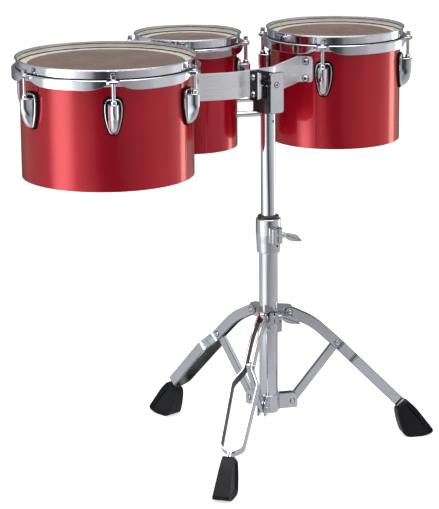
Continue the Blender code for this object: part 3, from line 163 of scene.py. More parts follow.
# %% A wood for each drum
def wood(name, centre):
    made = Finish("wood_" + name, 0.5, Coat_Weight=0.25, Coat_Roughness=0.25)
    apart = made.node("VectorMath", operation="SUBTRACT")
    apart.inputs[1].default_value = (centre.x, centre.y, 0.0)
    made.link(made.place, apart.inputs[0])
    flat = made.node("VectorMath", operation="MULTIPLY")
    flat.inputs[1].default_value = (1.0, 1.0, 0.0)
    made.link(apart.outputs["Vector"], flat.inputs[0])
    distance = made.node("VectorMath", operation="LENGTH")
    made.link(flat.outputs["Vector"], distance.inputs[0])
    plies = made.node("Math", operation="PINGPONG")
    plies.inputs[1].default_value = 0.00085
    made.link(distance.outputs["Value"], plies.inputs[0])
    share = made.node("Math", operation="DIVIDE")
    share.inputs[1].default_value = 0.00085
    made.link(plies.outputs["Value"], share.inputs[0])
    grain = made.noise(5.0, 6.0, (6.0, 6.0, 90.0))
    both = made.node("Math", operation="MULTIPLY_ADD")
    both.inputs[1].default_value = 0.25
    made.link(share.outputs["Value"], both.inputs[0])
    made.link(grain, both.inputs[2])
    made.tones(both.outputs["Value"], (0.34, 0.17, 0.075), (0.62, 0.41, 0.22), 0.35, 0.85)
    made.bump(grain, 0.15, 0.0004)
    return made


# %% [markdown]
# ## Metals
# Three metals cover the hardware. Chrome is almost a mirror, and only faint smudges vary its gloss. The
# castings are plated over a slightly grainy surface, so their reflections are soft. The arms are brushed
# along their length: noise squeezed along Z turns into long, level lines.

# %% Mix the metals
CHROME = Finish("chrome", 0.08, 1.0)
CHROME.tones(CHROME.noise(14.0, 3.0), (0.74, 0.75, 0.78), (0.84, 0.85, 0.88))
CHROME.gloss(CHROME.noise(60.0, 5.0), 0.045, 0.11)

CAST = Finish("satin_chrome", 0.14, 1.0)
CAST.tones(CAST.noise(35.0, 4.0), (0.7, 0.7, 0.73), (0.8, 0.8, 0.83))
CAST.gloss(CAST.noise(160.0, 4.0), 0.1, 0.18)
CAST.bump(CAST.noise(500.0, 2.0), 0.03, 0.0002)

LINING = Finish("satin_lining", 0.38, 1.0)
LINING.tones(LINING.noise(24.0, 4.0, (1.0, 1.0, 12.0)), (0.88, 0.865, 0.84), (0.96, 0.95, 0.93))
LINING.gloss(LINING.noise(90.0, 4.0), 0.32, 0.44)

BRUSHED = Finish("brushed_aluminium", 0.34, 0.72)
lines = BRUSHED.noise(10.0, 5.0, (2.0, 2.0, 260.0))
BRUSHED.tones(lines, (0.8, 0.8, 0.83), (0.93, 0.93, 0.95))
BRUSHED.gloss(lines, 0.26, 0.4)
BRUSHED.bump(lines, 0.05, 0.0002)

BAR = Finish("polished_bar", 0.25, 1.0)
BAR.tones(BAR.noise(18.0, 4.0), (0.66, 0.665, 0.7), (0.76, 0.765, 0.8))
BAR.gloss(BAR.noise(130.0, 4.0), 0.1, 0.17)

# This dark steel is painted shade: it darkens the rounded rims of plates, the inner faces of the leg straps and the
# receiver's lower block.
PAINTED_SHADE = Finish("painted_shade_steel", 0.42, 1.0)
PAINTED_SHADE.tones(PAINTED_SHADE.noise(60.0, 5.0), (0.075, 0.075, 0.082), (0.16, 0.16, 0.17))
PAINTED_SHADE.gloss(PAINTED_SHADE.noise(200.0, 4.0), 0.36, 0.5)
PAINTED_SHADE.bump(PAINTED_SHADE.noise(600.0, 3.0), 0.1, 0.0002)

# %% [markdown]
# ## Heads, rubber and black parts
# The film is a coated, woven head: two crossing sets of fine ribs under a dry coating. Rubber, the lug
# gaskets, the plastic bushing and the oiled black steel are all nearly black and differ in gloss and
# grain, which is what tells them apart on the real stand.

# %% Mix the head film
FILM = Finish("head_film", 0.5, Coat_Weight=0.15, Coat_Roughness=0.3)
ribs = []
for direction in ("X", "Y"):
    wave = FILM.node("TexWave", bands_direction=direction)
    wave.inputs["Scale"].default_value, wave.inputs["Distortion"].default_value = 260.0, 0.6
    FILM.link(FILM.place, wave.inputs["Vector"])
    ribs.append(wave.outputs["Fac"])
weave = FILM.node("Math", operation="MULTIPLY")
FILM.link(ribs[0], weave.inputs[0])
FILM.link(ribs[1], weave.inputs[1])
mottle = FILM.node("Math", operation="MULTIPLY_ADD")
mottle.inputs[1].default_value = 0.35
FILM.link(weave.outputs["Value"], mottle.inputs[0])
FILM.link(FILM.noise(30.0, 5.0), mottle.inputs[2])
FILM.tones(mottle.outputs["Value"], (0.084, 0.05, 0.035), (0.168, 0.108, 0.077), 0.3, 0.95)
FILM.gloss(FILM.noise(90.0, 3.0), 0.42, 0.58)
FILM.bump(weave.outputs["Value"], 0.25, 0.0002)
BORDER = Finish("bare_film", 0.3, Coat_Weight=0.3, Coat_Roughness=0.12)
BORDER.tones(BORDER.noise(45.0, 4.0), (0.5, 0.46, 0.4), (0.64, 0.6, 0.53))
BORDER.gloss(BORDER.noise(80.0, 3.0), 0.24, 0.36)

# %% Mix the dark finishes
def dark_finish(name, tone, lowest, highest, grain, strength, **more):
    made = Finish(name, (lowest + highest) / 2.0, **more)
    made.tones(made.noise(40.0, 4.0), tone, tuple(value * 1.9 for value in tone))
    made.gloss(made.noise(120.0, 4.0), lowest, highest)
    made.bump(made.noise(grain, 3.0), strength, 0.0003)
    return made


RUBBER = dark_finish("rubber", (0.002, 0.002, 0.0028), 0.36, 0.5, 520.0, 0.2, Specular_IOR_Level=0.3)
# This black rubber is the lug gaskets and the plugs, and on the hoops it is painted shade in the grooves and at the
# foot of the inner wall.
GASKET_AND_PAINTED_SHADE = dark_finish("gasket_rubber_and_painted_shade", (0.0015, 0.0015, 0.002), 0.5, 0.7, 700.0, 0.15, Specular_IOR_Level=0.15)
NYLON = dark_finish("black_nylon", (0.012, 0.012, 0.013), 0.3, 0.42, 400.0, 0.08)
# This black steel is the wing screw's, and it is also painted shade: the rings under bolt, rivet and face screw heads,
# the hexagon sockets and the plate on the left arm's end.
BLACK_AND_PAINTED_SHADE = dark_finish("black_steel", (0.012, 0.012, 0.013), 0.24, 0.38, 600.0, 0.1, metallic=0.7, Coat_Weight=0.2)
print("finishes ready:", len(bpy.data.materials))

# %% [markdown]
# ## Two ways to make most pieces
# Nearly everything here was turned on a lathe or cut from plate. A lathe piece is a half outline spun
# round Z. A plate piece is a flat outline with rounded corners, pulled up to its thickness and softened
# along its rims. Rounding is done with a bevel: on the outline's corner points before spinning, and on
# the sharp edges after pulling. Soft edges matter, because they catch the light.

# %% Lathe and plate
UPRIGHT = Matrix(((1, 0, 0, 0), (0, 0, 1, 0), (0, 1, 0, 0), (0, 0, 0, 1)))  # plate's height onto Z, thickness onto Y


def round_corners(bm, corners, size, segments):
    bmesh.ops.bevel(bm, geom=corners, offset=size, offset_type="OFFSET", segments=segments, profile=0.5,
                    affect="VERTICES", clamp_overlap=True, material=-1)


def soften(bm, size, angle=40.0, segments=2, only=None):
    bm.normal_update()
    sharp = [e for e in bm.edges if len(e.link_faces) == 2 and e.calc_face_angle() > math.radians(angle)]
    sharp = [e for e in sharp if only is None or only(e)]
    bmesh.ops.bevel(bm, geom=sharp, offset=size, offset_type="OFFSET", segments=segments, profile=0.5,
                    affect="EDGES", clamp_overlap=True, material=-1)
    bmesh.ops.remove_doubles(bm, verts=bm.verts[:], dist=1e-6)


def wire(points, closed):
    """A chain of edges through (x, y, z, corner size); a fourth value rounds that corner."""
    bm = bmesh.new()
    verts = [bm.verts.new(point[:3]) for point in points]
    sizes = {vert: point[3] for vert, point in zip(verts, points) if len(point) > 3 and point[3]}
    for first, second in zip(verts, verts[1:] + (verts[:1] if closed else [])):
        bm.edges.new((first, second))
    return bm, sizes


def lathe(outline, steps=96, closed=True, segments=3):
    """Spins an outline of (radius, height, corner size) round Z; an open one starts and ends on the axis."""
    bm, sizes = wire([(p[0], 0.0, *p[1:]) for p in outline], closed)
    for size in sorted(set(sizes.values())):
        round_corners(bm, [v for v in sizes if sizes[v] == size], size, segments)
    bmesh.ops.spin(bm, geom=bm.verts[:] + bm.edges[:], cent=(0, 0, 0), axis=(0, 0, 1), dvec=(0, 0, 0),
                   angle=2.0 * math.pi, steps=steps, use_merge=True, use_duplicate=False)
    bmesh.ops.remove_doubles(bm, verts=bm.verts[:], dist=1e-7)
    return bm


RIM = 1  # marks the rounded rim faces of a plate until the piece is put together


def plate(outline, thick, rim=0.0004, segments=4, rim_segments=2):
    """A flat outline of (x, y, corner size) pulled up along Z by the thickness; its rim faces are marked."""
    bm, sizes = wire([(p[0], p[1], 0.0, *p[2:]) for p in outline], True)
    face = bm.faces.new(bm.verts[:])
    for size in sorted(set(sizes.values())):
        round_corners(bm, [v for v in sizes if v.is_valid and sizes[v] == size], size, segments)
    bmesh.ops.remove_doubles(bm, verts=bm.verts[:], dist=3e-5)
    grown = bmesh.ops.extrude_face_region(bm, geom=bm.faces[:])["geom"]
    bmesh.ops.translate(bm, vec=(0, 0, thick), verts=[g for g in grown if isinstance(g, bmesh.types.BMVert)])
    if rim:
        soften(bm, rim, 60.0, rim_segments, lambda e: abs(e.verts[0].co.z - e.verts[1].co.z) < thick / 2.0)
        bm.normal_update()
        for face in bm.faces:
            face.material_index = RIM if 0.1 < abs(face.normal.z) < 0.97 else 0
    return bm


def sink(bm, side, steps, axis=2):
    """Insets the largest face that looks to this side, step by step: (inward, height change)."""
    bmesh.ops.recalc_face_normals(bm, faces=bm.faces[:])
    face = max((f for f in bm.faces if f.normal[axis] * side > 0.9), key=lambda f: f.calc_area())
    for inward, rise in steps:
        bmesh.ops.inset_individual(bm, faces=[face], thickness=inward, depth=rise)


def block(x, y, z, rim=0.0006, corner=0.0):
    """A plate given by its (low, high) along each axis."""
    flat = [(x[0], y[0], corner), (x[1], y[0], corner), (x[1], y[1], corner), (x[0], y[1], corner)]
    made = plate(flat, z[1] - z[0], rim)
    bmesh.ops.translate(made, vec=(0, 0, z[0]), verts=made.verts[:])
    return made


# %% [markdown]
# ## Putting a piece on the model
# A finished piece may be several shapes with different finishes, such as a chromed lug on its black
# gasket. They are put in place, get their outside facing out, and become one mesh with smooth shading
# up to the sharp edges, where the large faces keep their own direction and only the small rounded ones
# blend. The piece then rides on its body, and the solid that it stands for is hidden.

# %% Assemble, ride and replace
BODY = {node: body for body, nodes in frame["record"]["behaviour"]["bodies"].items() for node in nodes}


def face_outward(bm):
    """Turn the faces of every closed shell outward, which the sign of its volume tells."""
    bmesh.ops.recalc_face_normals(bm, faces=bm.faces[:])
    bm.normal_update()
    unseen = set(bm.faces)
    while unseen:
        shell = [unseen.pop()]
        for face in shell:
            for edge in face.edges:
                beside = [other for other in edge.link_faces if other in unseen]
                unseen.difference_update(beside)
                shell.extend(beside)
        if sum(face.calc_area() * face.normal.dot(face.calc_center_median()) for face in shell) < 0.0:
            bmesh.ops.reverse_faces(bm, faces=shell)
    bm.normal_update()


def piece(name, node, shapes, smooth=34.0):
    """Shapes are (bmesh, matrix, finish); a finish may also be a function from face to finish."""
    whole, finishes = bmesh.new(), []
    for bm, matrix, finish in shapes:
        bm = bm.copy()
        bm.transform(matrix)
        face_outward(bm)
        for face in bm.faces:
            own = finish if isinstance(finish, Finish) else finish(face)
            if own not in finishes:
                finishes.append(own)
            face.material_index = finishes.index(own)
        part = bpy.data.meshes.new("part")
        bm.to_mesh(part)
        bm.free()
        whole.from_mesh(part)
        bpy.data.meshes.remove(part)
    mesh = bpy.data.meshes.new(name)
    whole.to_mesh(mesh)
    whole.free()
    for finish in finishes:
        mesh.materials.append(finish.material)
    mesh.shade_smooth()
    mesh.set_sharp_from_angle(angle=math.radians(smooth))
    made = bpy.data.objects.new(name, mesh)
    bpy.context.scene.collection.objects.link(made)
    flats = made.modifiers.new("flats_stay_flat", "WEIGHTED_NORMAL")
    flats.mode, flats.weight, flats.keep_sharp = "FACE_AREA", 100, True
    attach(made, BODY[node])
    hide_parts(node)
    return made


def painted_rim_shade(finish):
    """The finish for the faces and dark steel on the rounded rims: painted shade that draws the dark outlines."""
    return lambda face: PAINTED_SHADE if face.material_index == RIM else finish


def turn(degrees, axis="Z"):
    return Matrix.Rotation(math.radians(degrees), 4, axis)


def shift(x=0.0, y=0.0, z=0.0):
    return Matrix.Translation((x, y, z))


# %% [markdown]
# ## Sizes shared by the three drums
# All three drums have the same rim section, lugs and depth, and only the diameter and the number of lugs
# change. Heights are measured down from the rim's top.

# %% Drum sizes
RIM_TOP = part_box("left_hoop")[1].z
DRUMS = {
    "left": dict(radius=0.127, lugs=6, first=239.3),
    "right": dict(radius=0.1016, lugs=4, first=220.5),
    "rear": dict(radius=0.0762, lugs=4, first=227.6),
}
for name, drum in DRUMS.items():
    low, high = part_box(name + "_shell")
    drum["centre"] = Vector(((low.x + high.x) / 2.0, (low.y + high.y) / 2.0, 0.0))
    drum["place"] = Matrix.Translation(drum["centre"]) @ turn(drum["first"])
    drum["bottom"] = low.z
    print(name, "drum:", round(drum["radius"] * 2000.0), "mm across at", [round(v, 3) for v in drum["centre"][:2]])

# %% [markdown]
# ## Shells
# A shell is a plain tube of wood with the wrap glued on and a 45 degree bearing edge that carries the
# head. It is one outline spun round. The outer wall then gets the wrap and all other faces get the wood,
# chosen face by face by the distance from the axis.

# %% Turn the shells
SHELL_WALL, FILM_LOW = 0.006, RIM_TOP - 0.011
for name, drum in DRUMS.items():
    outer, inner, bottom, top = drum["radius"], drum["radius"] - SHELL_WALL, drum["bottom"], FILM_LOW - 0.0003
    outline = [
        (inner, bottom, 0.0006), (outer, bottom, 0.0005), (outer, top - 0.0015, 0.0005), (outer - 0.0015, top),
        (inner, top - SHELL_WALL + 0.0015),
    ]
    plies = wood(name, drum["centre"])
    centre = drum["centre"]

    def skin_or_wood(face, centre=centre, outer=outer, plies=plies):
        middle = face.calc_center_median() - centre
        return WRAP if math.hypot(middle.x, middle.y) > outer - 0.0004 and abs(face.normal.z) < 0.5 else plies

    piece(name + "_shell_wrapped", name + "_shell",
          [(lathe(outline, 192), drum["place"], skin_or_wood)])

# %% [markdown]
# ## Heads
# The head is a thin woven film over the bearing edge, and its rim is held in a square metal ring that
# the hoop pulls down. Only the film and a thin line of the ring show, yet both are made, because the
# ring is what fills the dark step under the hoop.

# %% Turn the heads
for name, drum in DRUMS.items():
    radius, over = drum["radius"], FILM_LOW + 0.0004
    ring_top = RIM_TOP - 0.0167
    film = [(0.0, FILM_LOW), (radius + 0.0006, FILM_LOW), (radius + 0.0006, ring_top - 0.006),
            (radius + 0.0016, ring_top - 0.006), (radius + 0.0016, over, 0.0012), (radius - 0.0115, over), (0.0, over)]
    centre = drum["centre"]

    def coated(face, centre=centre, edge=radius - 0.0115):
        return FILM if all(math.hypot(*(v.co - centre).xy) < edge + 1e-5 for v in face.verts) else BORDER

    ring = [(radius + 0.0008, ring_top - 0.007, 0.0005), (radius + 0.0071, ring_top - 0.007, 0.0008),
            (radius + 0.0071, ring_top, 0.0008), (radius + 0.0017, ring_top, 0.0005)]
    piece(name + "_head_film", name + "_head",
          [(lathe(film, 192, closed=False), drum["place"], coated), (lathe(ring, 192), drum["place"], BRUSHED)])

# %% [markdown]
# ## Hoops
# The rim is pressed from one strip of steel: a rolled flange on top, an upright wall, a lower flange that
# seats on the head's ring and a skirt. At each lug the skirt is cut away in a sweep and the lower flange
# runs out into an ear for the tension rod. The section is spun round first. Then each point of the skirt
# moves out and up by how far it is from the nearest ear, so the sweep stays one smooth surface.

# %% Press the hoops
SEAT, SKIRT_OUT, EAR_OUT, SKIRT_DROP, LIP = 0.0142, 0.011, 0.0194, 0.0291, 0.0036
SWEEP_START, SWEEP_END = 0.0065, 0.06
# The two bands in LINES are grooves in the hoop's inner wall; they are coloured dark as painted shade.
LINES = ((0.0034, 0.0044), (0.0094, 0.0108))


def ease(value):
    value = min(max(value, 0.0), 1.0)
    return value * value * (3.0 - 2.0 * value)


def hoop(drum, steps):
    radius = drum["radius"]
    section = [
        (0.0038, 0.0, 0.0006), (0.0066, 0.0, 0.0007), (0.0066, 0.0015, 0.0006), (0.0046, 0.0018, 0.0006),
        (0.0046, SEAT, 0.0014), (SKIRT_OUT, SEAT, 0.0015), (SKIRT_OUT, SKIRT_DROP, 0.0008),
        (SKIRT_OUT - 0.0018, SKIRT_DROP, 0.0008), (SKIRT_OUT - 0.0018, SEAT + 0.0022), (0.0028, SEAT + 0.0022, 0.0006),
    ]
    for above, below in reversed(LINES):
        section += [(0.0035, below), (0.00405, below - 0.0001), (0.00405, above + 0.0001), (0.0035, above)]
    bm = lathe([(radius + p[0], RIM_TOP - p[1], *p[2:]) for p in section], steps, segments=4)
    sector = 2.0 * math.pi / drum["lugs"]
    under = SEAT + 0.0022
    for vert in bm.verts:
        reach, down = math.hypot(vert.co.x, vert.co.y), RIM_TOP - vert.co.z
        angle = math.atan2(vert.co.y, vert.co.x) % sector
        distance = min(angle, sector - angle) * (radius + SKIRT_OUT)
        if reach - radius > 0.0082:
            grow = (EAR_OUT - SKIRT_OUT) * (1.0 - ease((distance - 0.0062) / 0.0035))
            vert.co.x *= (reach + grow) / reach
            vert.co.y *= (reach + grow) / reach
        if down > under:
            rise = min(max((SWEEP_END - distance) / (SWEEP_END - SWEEP_START), 0.0), 1.0) ** 4
            drop = SKIRT_DROP + (SEAT + LIP - SKIRT_DROP) * rise
            vert.co.z = RIM_TOP - under - (down - under) * (drop - under) / (SKIRT_DROP - under)
    return bm


for name, steps in (("left", 720), ("right", 576), ("rear", 480)):
    centre, inner = DRUMS[name]["centre"], DRUMS[name]["radius"] + 0.0037

    # The foot of the inner wall and the grooves get the black rubber: painted shade for the dark gap at the film and
    # the dark lines on the wall.
    def side(face, centre=centre, inner=inner):
        middle = face.calc_center_median() - centre
        apart, down = math.hypot(middle.x, middle.y), RIM_TOP - middle.z
        foot = inner + 0.0009 < apart < inner + 0.0021 and SEAT - 0.0014 < down < SEAT - 0.0002
        if foot or apart < inner + 0.0005 and any(above <= down <= below for above, below in LINES):
            return GASKET_AND_PAINTED_SHADE
        return LINING if apart < inner and down > 0.0012 else CHROME

    made = piece(name + "_hoop_pressed", name + "_hoop", [(hoop(DRUMS[name], steps), DRUMS[name]["place"], side)], 40.0)
    print(made.name, len(made.data.polygons), "faces")

# %% [markdown]
# ## Lugs
# A lug is a die-cast, chromed bullet on a shield-shaped base with a black gasket under it. The body is
# widest at its flat top, where the rod's sleeve comes out, and curves back into the shell below. It is
# made by pulling a rounded section down in steps while it narrows and shortens. Base and gasket are
# plates that are curved to the drum afterwards. Two insets make the bright rim and the groove inside it.

# %% Build one lug
LUG_LOW, LUG_TALL = RIM_TOP - 0.095, 0.056
SHIELD = [(0.0, 0.0), (0.38, 0.012), (0.66, 0.17), (0.92, 0.45), (1.0, 0.72), (0.93, 0.9), (0.62, 0.995)]


def shield(width, tall, low):
    right = [(width / 2.0 * across, low + tall * up) for across, up in SHIELD[1:]]
    points = [(y, z) for y, z in right] + [(-y, z) for y, z in reversed(right)]
    return [(y, z, 0.0032) for y, z in points]


def pulled(sides, stages, square=2.0):
    """A closed skin: a rounded section placed by the first matrix and pulled on through the others."""
    bm = bmesh.new()
    bmesh.ops.create_circle(bm, segments=sides, radius=1.0)
    for vert in bm.verts:
        bulge = (abs(vert.co.x) ** square + abs(vert.co.y) ** square) ** (1.0 / square)
        vert.co /= bulge
    bm.transform(stages[0])
    edges, verts = bm.edges[:], bm.verts[:]
    for before, stage in zip(stages, stages[1:]):
        grown = bmesh.ops.extrude_edge_only(bm, edges=edges)["geom"]
        verts = [g for g in grown if isinstance(g, bmesh.types.BMVert)]
        own = set(verts)
        edges = [g for g in grown if isinstance(g, bmesh.types.BMEdge) and own.issuperset(g.verts)]
        bmesh.ops.transform(bm, matrix=stage @ before.inverted(), verts=verts)
    bmesh.ops.holes_fill(bm, edges=bm.edges[:], sides=0)
    return bm


def hug(bm, radius):
    """Curves an upright plate, given as y, z and thickness, to the drum's surface."""
    for vert in bm.verts:
        y, z, out = vert.co
        vert.co = Vector((radius + out - (radius - math.sqrt(radius**2 - y**2)), y, z))
    return bm


def lug(drum):
    radius = drum["radius"]
    gasket = plate(shield(0.031, LUG_TALL, LUG_LOW), 0.0026, 0.0006)
    inlay = plate(shield(0.0228, LUG_TALL - 0.0082, LUG_LOW + 0.0041), 0.0012, 0.0)
    base = plate(shield(0.0262, LUG_TALL - 0.0046, LUG_LOW + 0.0023), 0.0046, 0.0013, rim_segments=4)
    sink(base, 1.0, ((0.0007, 0.0), (0.0006, -0.0016), (0.0009, 0.0)))
    gasket, base, inlay = hug(gasket, radius + 0.0003), hug(base, radius + 0.0009), hug(inlay, radius + 0.003)
    back, top, bottom, straight = radius + 0.0028, RIM_TOP - 0.0475, LUG_LOW + 0.003, 0.0115
    levels = [(top, 0.9, 0.9), (top - 0.0003, 0.955, 0.955), (top - 0.0009, 0.99, 0.99), (top - 0.0022, 1.0, 1.0),
              (top - straight * 0.6, 1.0, 1.0), (top - straight, 1.0, 1.0)]
    for step in range(1, 13):
        angle = math.pi / 2.0 * step / 12.0
        shrink = max(math.cos(angle), 0.03)
        levels.append((top - straight - (top - straight - bottom) * math.sin(angle), shrink, shrink ** 0.62))
    stages = []
    for z, deep, wide in levels:
        depth = (0.0187 - 0.001) * deep
        stages.append(Matrix.Translation((back, 0.0, z)) @ Matrix.Diagonal((depth, 0.0084 * wide, 1.0, 1.0)))
    body = pulled(48, stages, 2.3)
    sleeve = lathe([(0.0, top - 0.004), (0.0043, top - 0.004), (0.0043, top + 0.0044, 0.0006),
                    (0.0033, top + 0.0052, 0.0003), (0.0, top + 0.0052)], 40, closed=False)
    return [(gasket, GASKET_AND_PAINTED_SHADE), (base, CHROME), (body, CHROME), (sleeve, CHROME), (inlay, GASKET_AND_PAINTED_SHADE)], radius


# %% [markdown]
# ## Tension rods
# Each rod is a plain steel pin with a square key head above a round collar, and the collar presses a
# washer onto the hoop's ear. Turning the rod by its square head tunes the drum.

# %% Build one rod
def rod():
    seat, tail = RIM_TOP - SEAT + 0.0003, RIM_TOP - 0.0543
    pin = lathe([(0.0, tail), (0.00275, tail, 0.0004), (0.00275, seat), (0.0, seat)], 32, closed=False)
    washer = lathe([(0.0, seat), (0.00475, seat, 0.0003), (0.00475, seat + 0.0008, 0.0003), (0.0036, seat + 0.0008),
                    (0.0041, seat + 0.0011, 0.0004), (0.0038, seat + 0.0019, 0.0004), (0.0, seat + 0.0019)],
                   40, closed=False)
    head = block((-0.00315, 0.00315), (-0.00315, 0.00315), (seat + 0.0018, seat + 0.0079), 0.0007, 0.0007)
    return [(pin, CHROME), (washer, CHROME), (head, CHROME)]


# %% Hang lugs and rods on all three drums
count = 0
for name, drum in DRUMS.items():
    lug_shapes, radius = lug(drum)
    rod_shapes = rod()
    for i in range(drum["lugs"]):
        place = drum["place"] @ turn(360.0 * i / drum["lugs"])
        at_rod = place @ shift(radius + 0.0135)
        shapes = [(bm, place if bm is not lug_shapes[3][0] else at_rod, finish) for bm, finish in lug_shapes]
        piece(f"{name}_lug_cast_{i + 1}", f"{name}_lug_{i + 1}", shapes, 38.0)
        piece(f"{name}_rod_turned_{i + 1}", f"{name}_rod_{i + 1}", [(bm, at_rod, f) for bm, f in rod_shapes])
        count += 1
print("lugs and rods:", count)

# %% [markdown]
# ## Links between the drums
# Two chromed spacer tubes join the small drum to each neighbour. Their bolts pass through both shells
# into a backing plate with rounded ends on one side and nuts on the other, so the lathe makes the tubes
# lying down and a plate finishes them.

# %% Lay the links
LINK_HEIGHTS = (DRUMS["left"]["bottom"] + 0.0437, DRUMS["left"]["bottom"] + 0.0673)
LIE = turn(90.0, "Y")


def inside(drum, half):
    return math.sqrt(((drum["radius"] - SHELL_WALL) * 0.9965) ** 2 - half**2) - 0.0004


for name in ("left", "right"):
    first, second = DRUMS[name], DRUMS["rear"]
    way = second["centre"] - first["centre"]
    span = way.length
    place = Matrix.Translation(first["centre"]) @ turn(math.degrees(math.atan2(way.y, way.x)))
    start, end, nut = first["radius"] + 0.0003, span - second["radius"] - 0.0003, span - inside(second, 0.0055)
    face = inside(first, 0.007)
    tube = lathe([(0.0, start), (0.005, start, 0.0005), (0.005, end, 0.0005), (0.0, end)], 48, closed=False)
    bolt = lathe([(0.0, face), (0.0028, face), (0.0028, nut + 0.0045, 0.0004), (0.0, nut + 0.0045)], 24, closed=False)
    shapes = []
    for height in LINK_HEIGHTS:
        lying = place @ shift(z=height) @ LIE
        hexagon = bmesh.new()
        bmesh.ops.create_circle(hexagon, cap_ends=True, segments=6, radius=0.0055)
        top = bmesh.ops.extrude_face_region(hexagon, geom=hexagon.faces[:])["geom"]
        bmesh.ops.translate(hexagon, vec=(0, 0, 0.0035), verts=[g for g in top if isinstance(g, bmesh.types.BMVert)])
        soften(hexagon, 0.0004, 30.0)
        shapes += [(tube, lying, CHROME), (bolt, lying, BAR), (hexagon, lying @ shift(z=nut), BAR)]
    low, high = LINK_HEIGHTS[0] - 0.009, LINK_HEIGHTS[1] + 0.009
    backing = plate([(-0.007, low, 0.0056), (0.007, low, 0.0056), (0.007, high, 0.0056), (-0.007, high, 0.0056)], 0.003)
    facing = place @ shift(face - 0.003) @ Matrix(((0, 0, 1, 0), (1, 0, 0, 0), (0, 1, 0, 0), (0, 0, 0, 1)))
    shapes.append((backing, facing, BAR))
    piece("link_" + name + "_turned", "link_" + name, shapes)

# %% [markdown]
# ## Bending a flat bar
# Arms and leg straps start as straight flat bar. A long plate is cut across at close stations, so that it
# can bend, and then each point is carried to its place along a course: the bar's length follows the
# course, its depth stays upright and its thickness stands square to both. The course's corners are
# rounded as a bending brake would leave them.

# %% Courses and bent bar
def course(corners, spacing=0.0012):
    """A dense line through (x, y, z, cut): each inner corner is rounded over its cut to either side."""
    points = [Vector(corner[:3]) for corner in corners]
    line = [points[0]]
    for i in range(1, len(points) - 1):
        back, ahead = points[i - 1] - points[i], points[i + 1] - points[i]
        cut = min(corners[i][3], back.length * 0.49, ahead.length * 0.49)
        start, end = points[i] + back.normalized() * cut, points[i] + ahead.normalized() * cut
        for step in range(9):
            t = step / 8.0
            line.append(start * (1 - t) ** 2 + points[i] * 2 * t * (1 - t) + end * t**2)
    line.append(points[-1])
    marks = [0.0]
    for before, after in zip(line, line[1:]):
        marks.append(marks[-1] + (after - before).length)
    return line, marks


def along(line, marks, distance):
    """Point and direction at a distance along the course, which runs on straight past both ends."""
    i = 1
    while i < len(marks) - 1 and marks[i] < distance:
        i += 1
    direction = (line[i] - line[i - 1]).normalized()
    here = line[i - 1] + direction * (distance - marks[i - 1])
    other = direction
    if i + 1 < len(line) and i > 1:
        share = (distance - marks[i - 1]) / max(marks[i] - marks[i - 1], 1e-9)
        before = (line[i - 1] - line[i - 2]).normalized() + direction
        after = (line[i + 1] - line[i]).normalized() + direction
        other = before.normalized().lerp(after.normalized(), min(max(share, 0.0), 1.0))
    return here, other.normalized()


def bent(bm, line, marks, across):
    """Carries a flat bar (length on X, depth on Y, thickness on Z about 0) along the course."""
    stations = [mark for mark in marks[1:-1]]
    for mark in stations:
        bmesh.ops.bisect_plane(bm, geom=bm.verts[:] + bm.edges[:] + bm.faces[:], dist=1e-6,
                               plane_co=(mark, 0, 0), plane_no=(1, 0, 0))
    for vert in bm.verts:
        here, direction = along(line, marks, vert.co.x)
        depth = across(direction)
        vert.co = here + depth * vert.co.y + direction.cross(depth) * vert.co.z
    return bm


# %% [markdown]
# ## The two arms
# Both arms are 40 mm flat bar on edge. One end of each is bent to lie along a shell and is held by two
# round bolts. The left arm swings round to the bracket in a gentle curve and ends in a sharp bend with a
# black plate that is painted shade for the dark face of that end. The right arm runs behind the bracket.
# The outer corners of the right arm's flange are rounded.

# %% Bolt heads
def dome(radius, height, slot=0.0):
    """A round bolt head on z = 0 over a black ring of painted shade, with a black hexagon of painted shade for its
    socket when a slot size is given.
    """
    head = lathe([(0.0, -0.0012), (radius, -0.0012), (radius, height * 0.3, height * 0.25),
                  (radius * 0.72, height * 0.86, height * 0.4), (radius * 0.45, height, height * 0.3), (0.0, height)],
                 40, closed=False)
    ring = lathe([(0.0, -0.0003), (radius + 0.0009, -0.0003), (radius + 0.0009, 0.0003, 0.0001), (0.0, 0.0003)], 40,
                 closed=False)
    shapes = [(head, Matrix(), BAR), (ring, Matrix(), BLACK_AND_PAINTED_SHADE)]
    if slot:
        socket = bmesh.new()
        bmesh.ops.create_circle(socket, cap_ends=True, segments=6, radius=slot)
        grown = bmesh.ops.extrude_face_region(socket, geom=socket.faces[:])["geom"]
        bmesh.ops.translate(socket, vec=(0, 0, 0.0003), verts=[g for g in grown if isinstance(g, bmesh.types.BMVert)])
        shapes.append((socket, shift(z=height - 0.0001), BLACK_AND_PAINTED_SHADE))
    return shapes


def set_at(shapes, matrix):
    return [(bm, matrix @ own, finish) for bm, own, finish in shapes]


# %% Bend the arms
ARM_LOW, ARM_TALL, ARM_THICK = 0.546, 0.04, 0.004
COLUMN_XY = COLUMN.translation


def seat_line(name, degrees, sign):
    drum = DRUMS[name]
    out = Vector((math.cos(math.radians(degrees)), math.sin(math.radians(degrees)), 0.0))
    run = Vector((-out.y, out.x, 0.0)) * sign
    middle = drum["centre"] - COLUMN_XY + out * (drum["radius"] + 0.0003 + ARM_THICK / 2.0)
    return middle - run * 0.0115, middle + run * 0.012, middle, out


def flat_bar(line, marks, corner_start, corner_end):
    length = marks[-1]
    outline = [(0.0, 0.0, corner_start), (length, 0.0, corner_end), (length, ARM_TALL, corner_end),
               (0.0, ARM_TALL, corner_start)]
    bar = plate(outline, ARM_THICK, 0.0005, 5)
    bmesh.ops.translate(bar, vec=(0, 0, -ARM_THICK / 2.0), verts=bar.verts[:])
    return bent(bar, line, marks, lambda direction: Vector((0, 0, 1)))


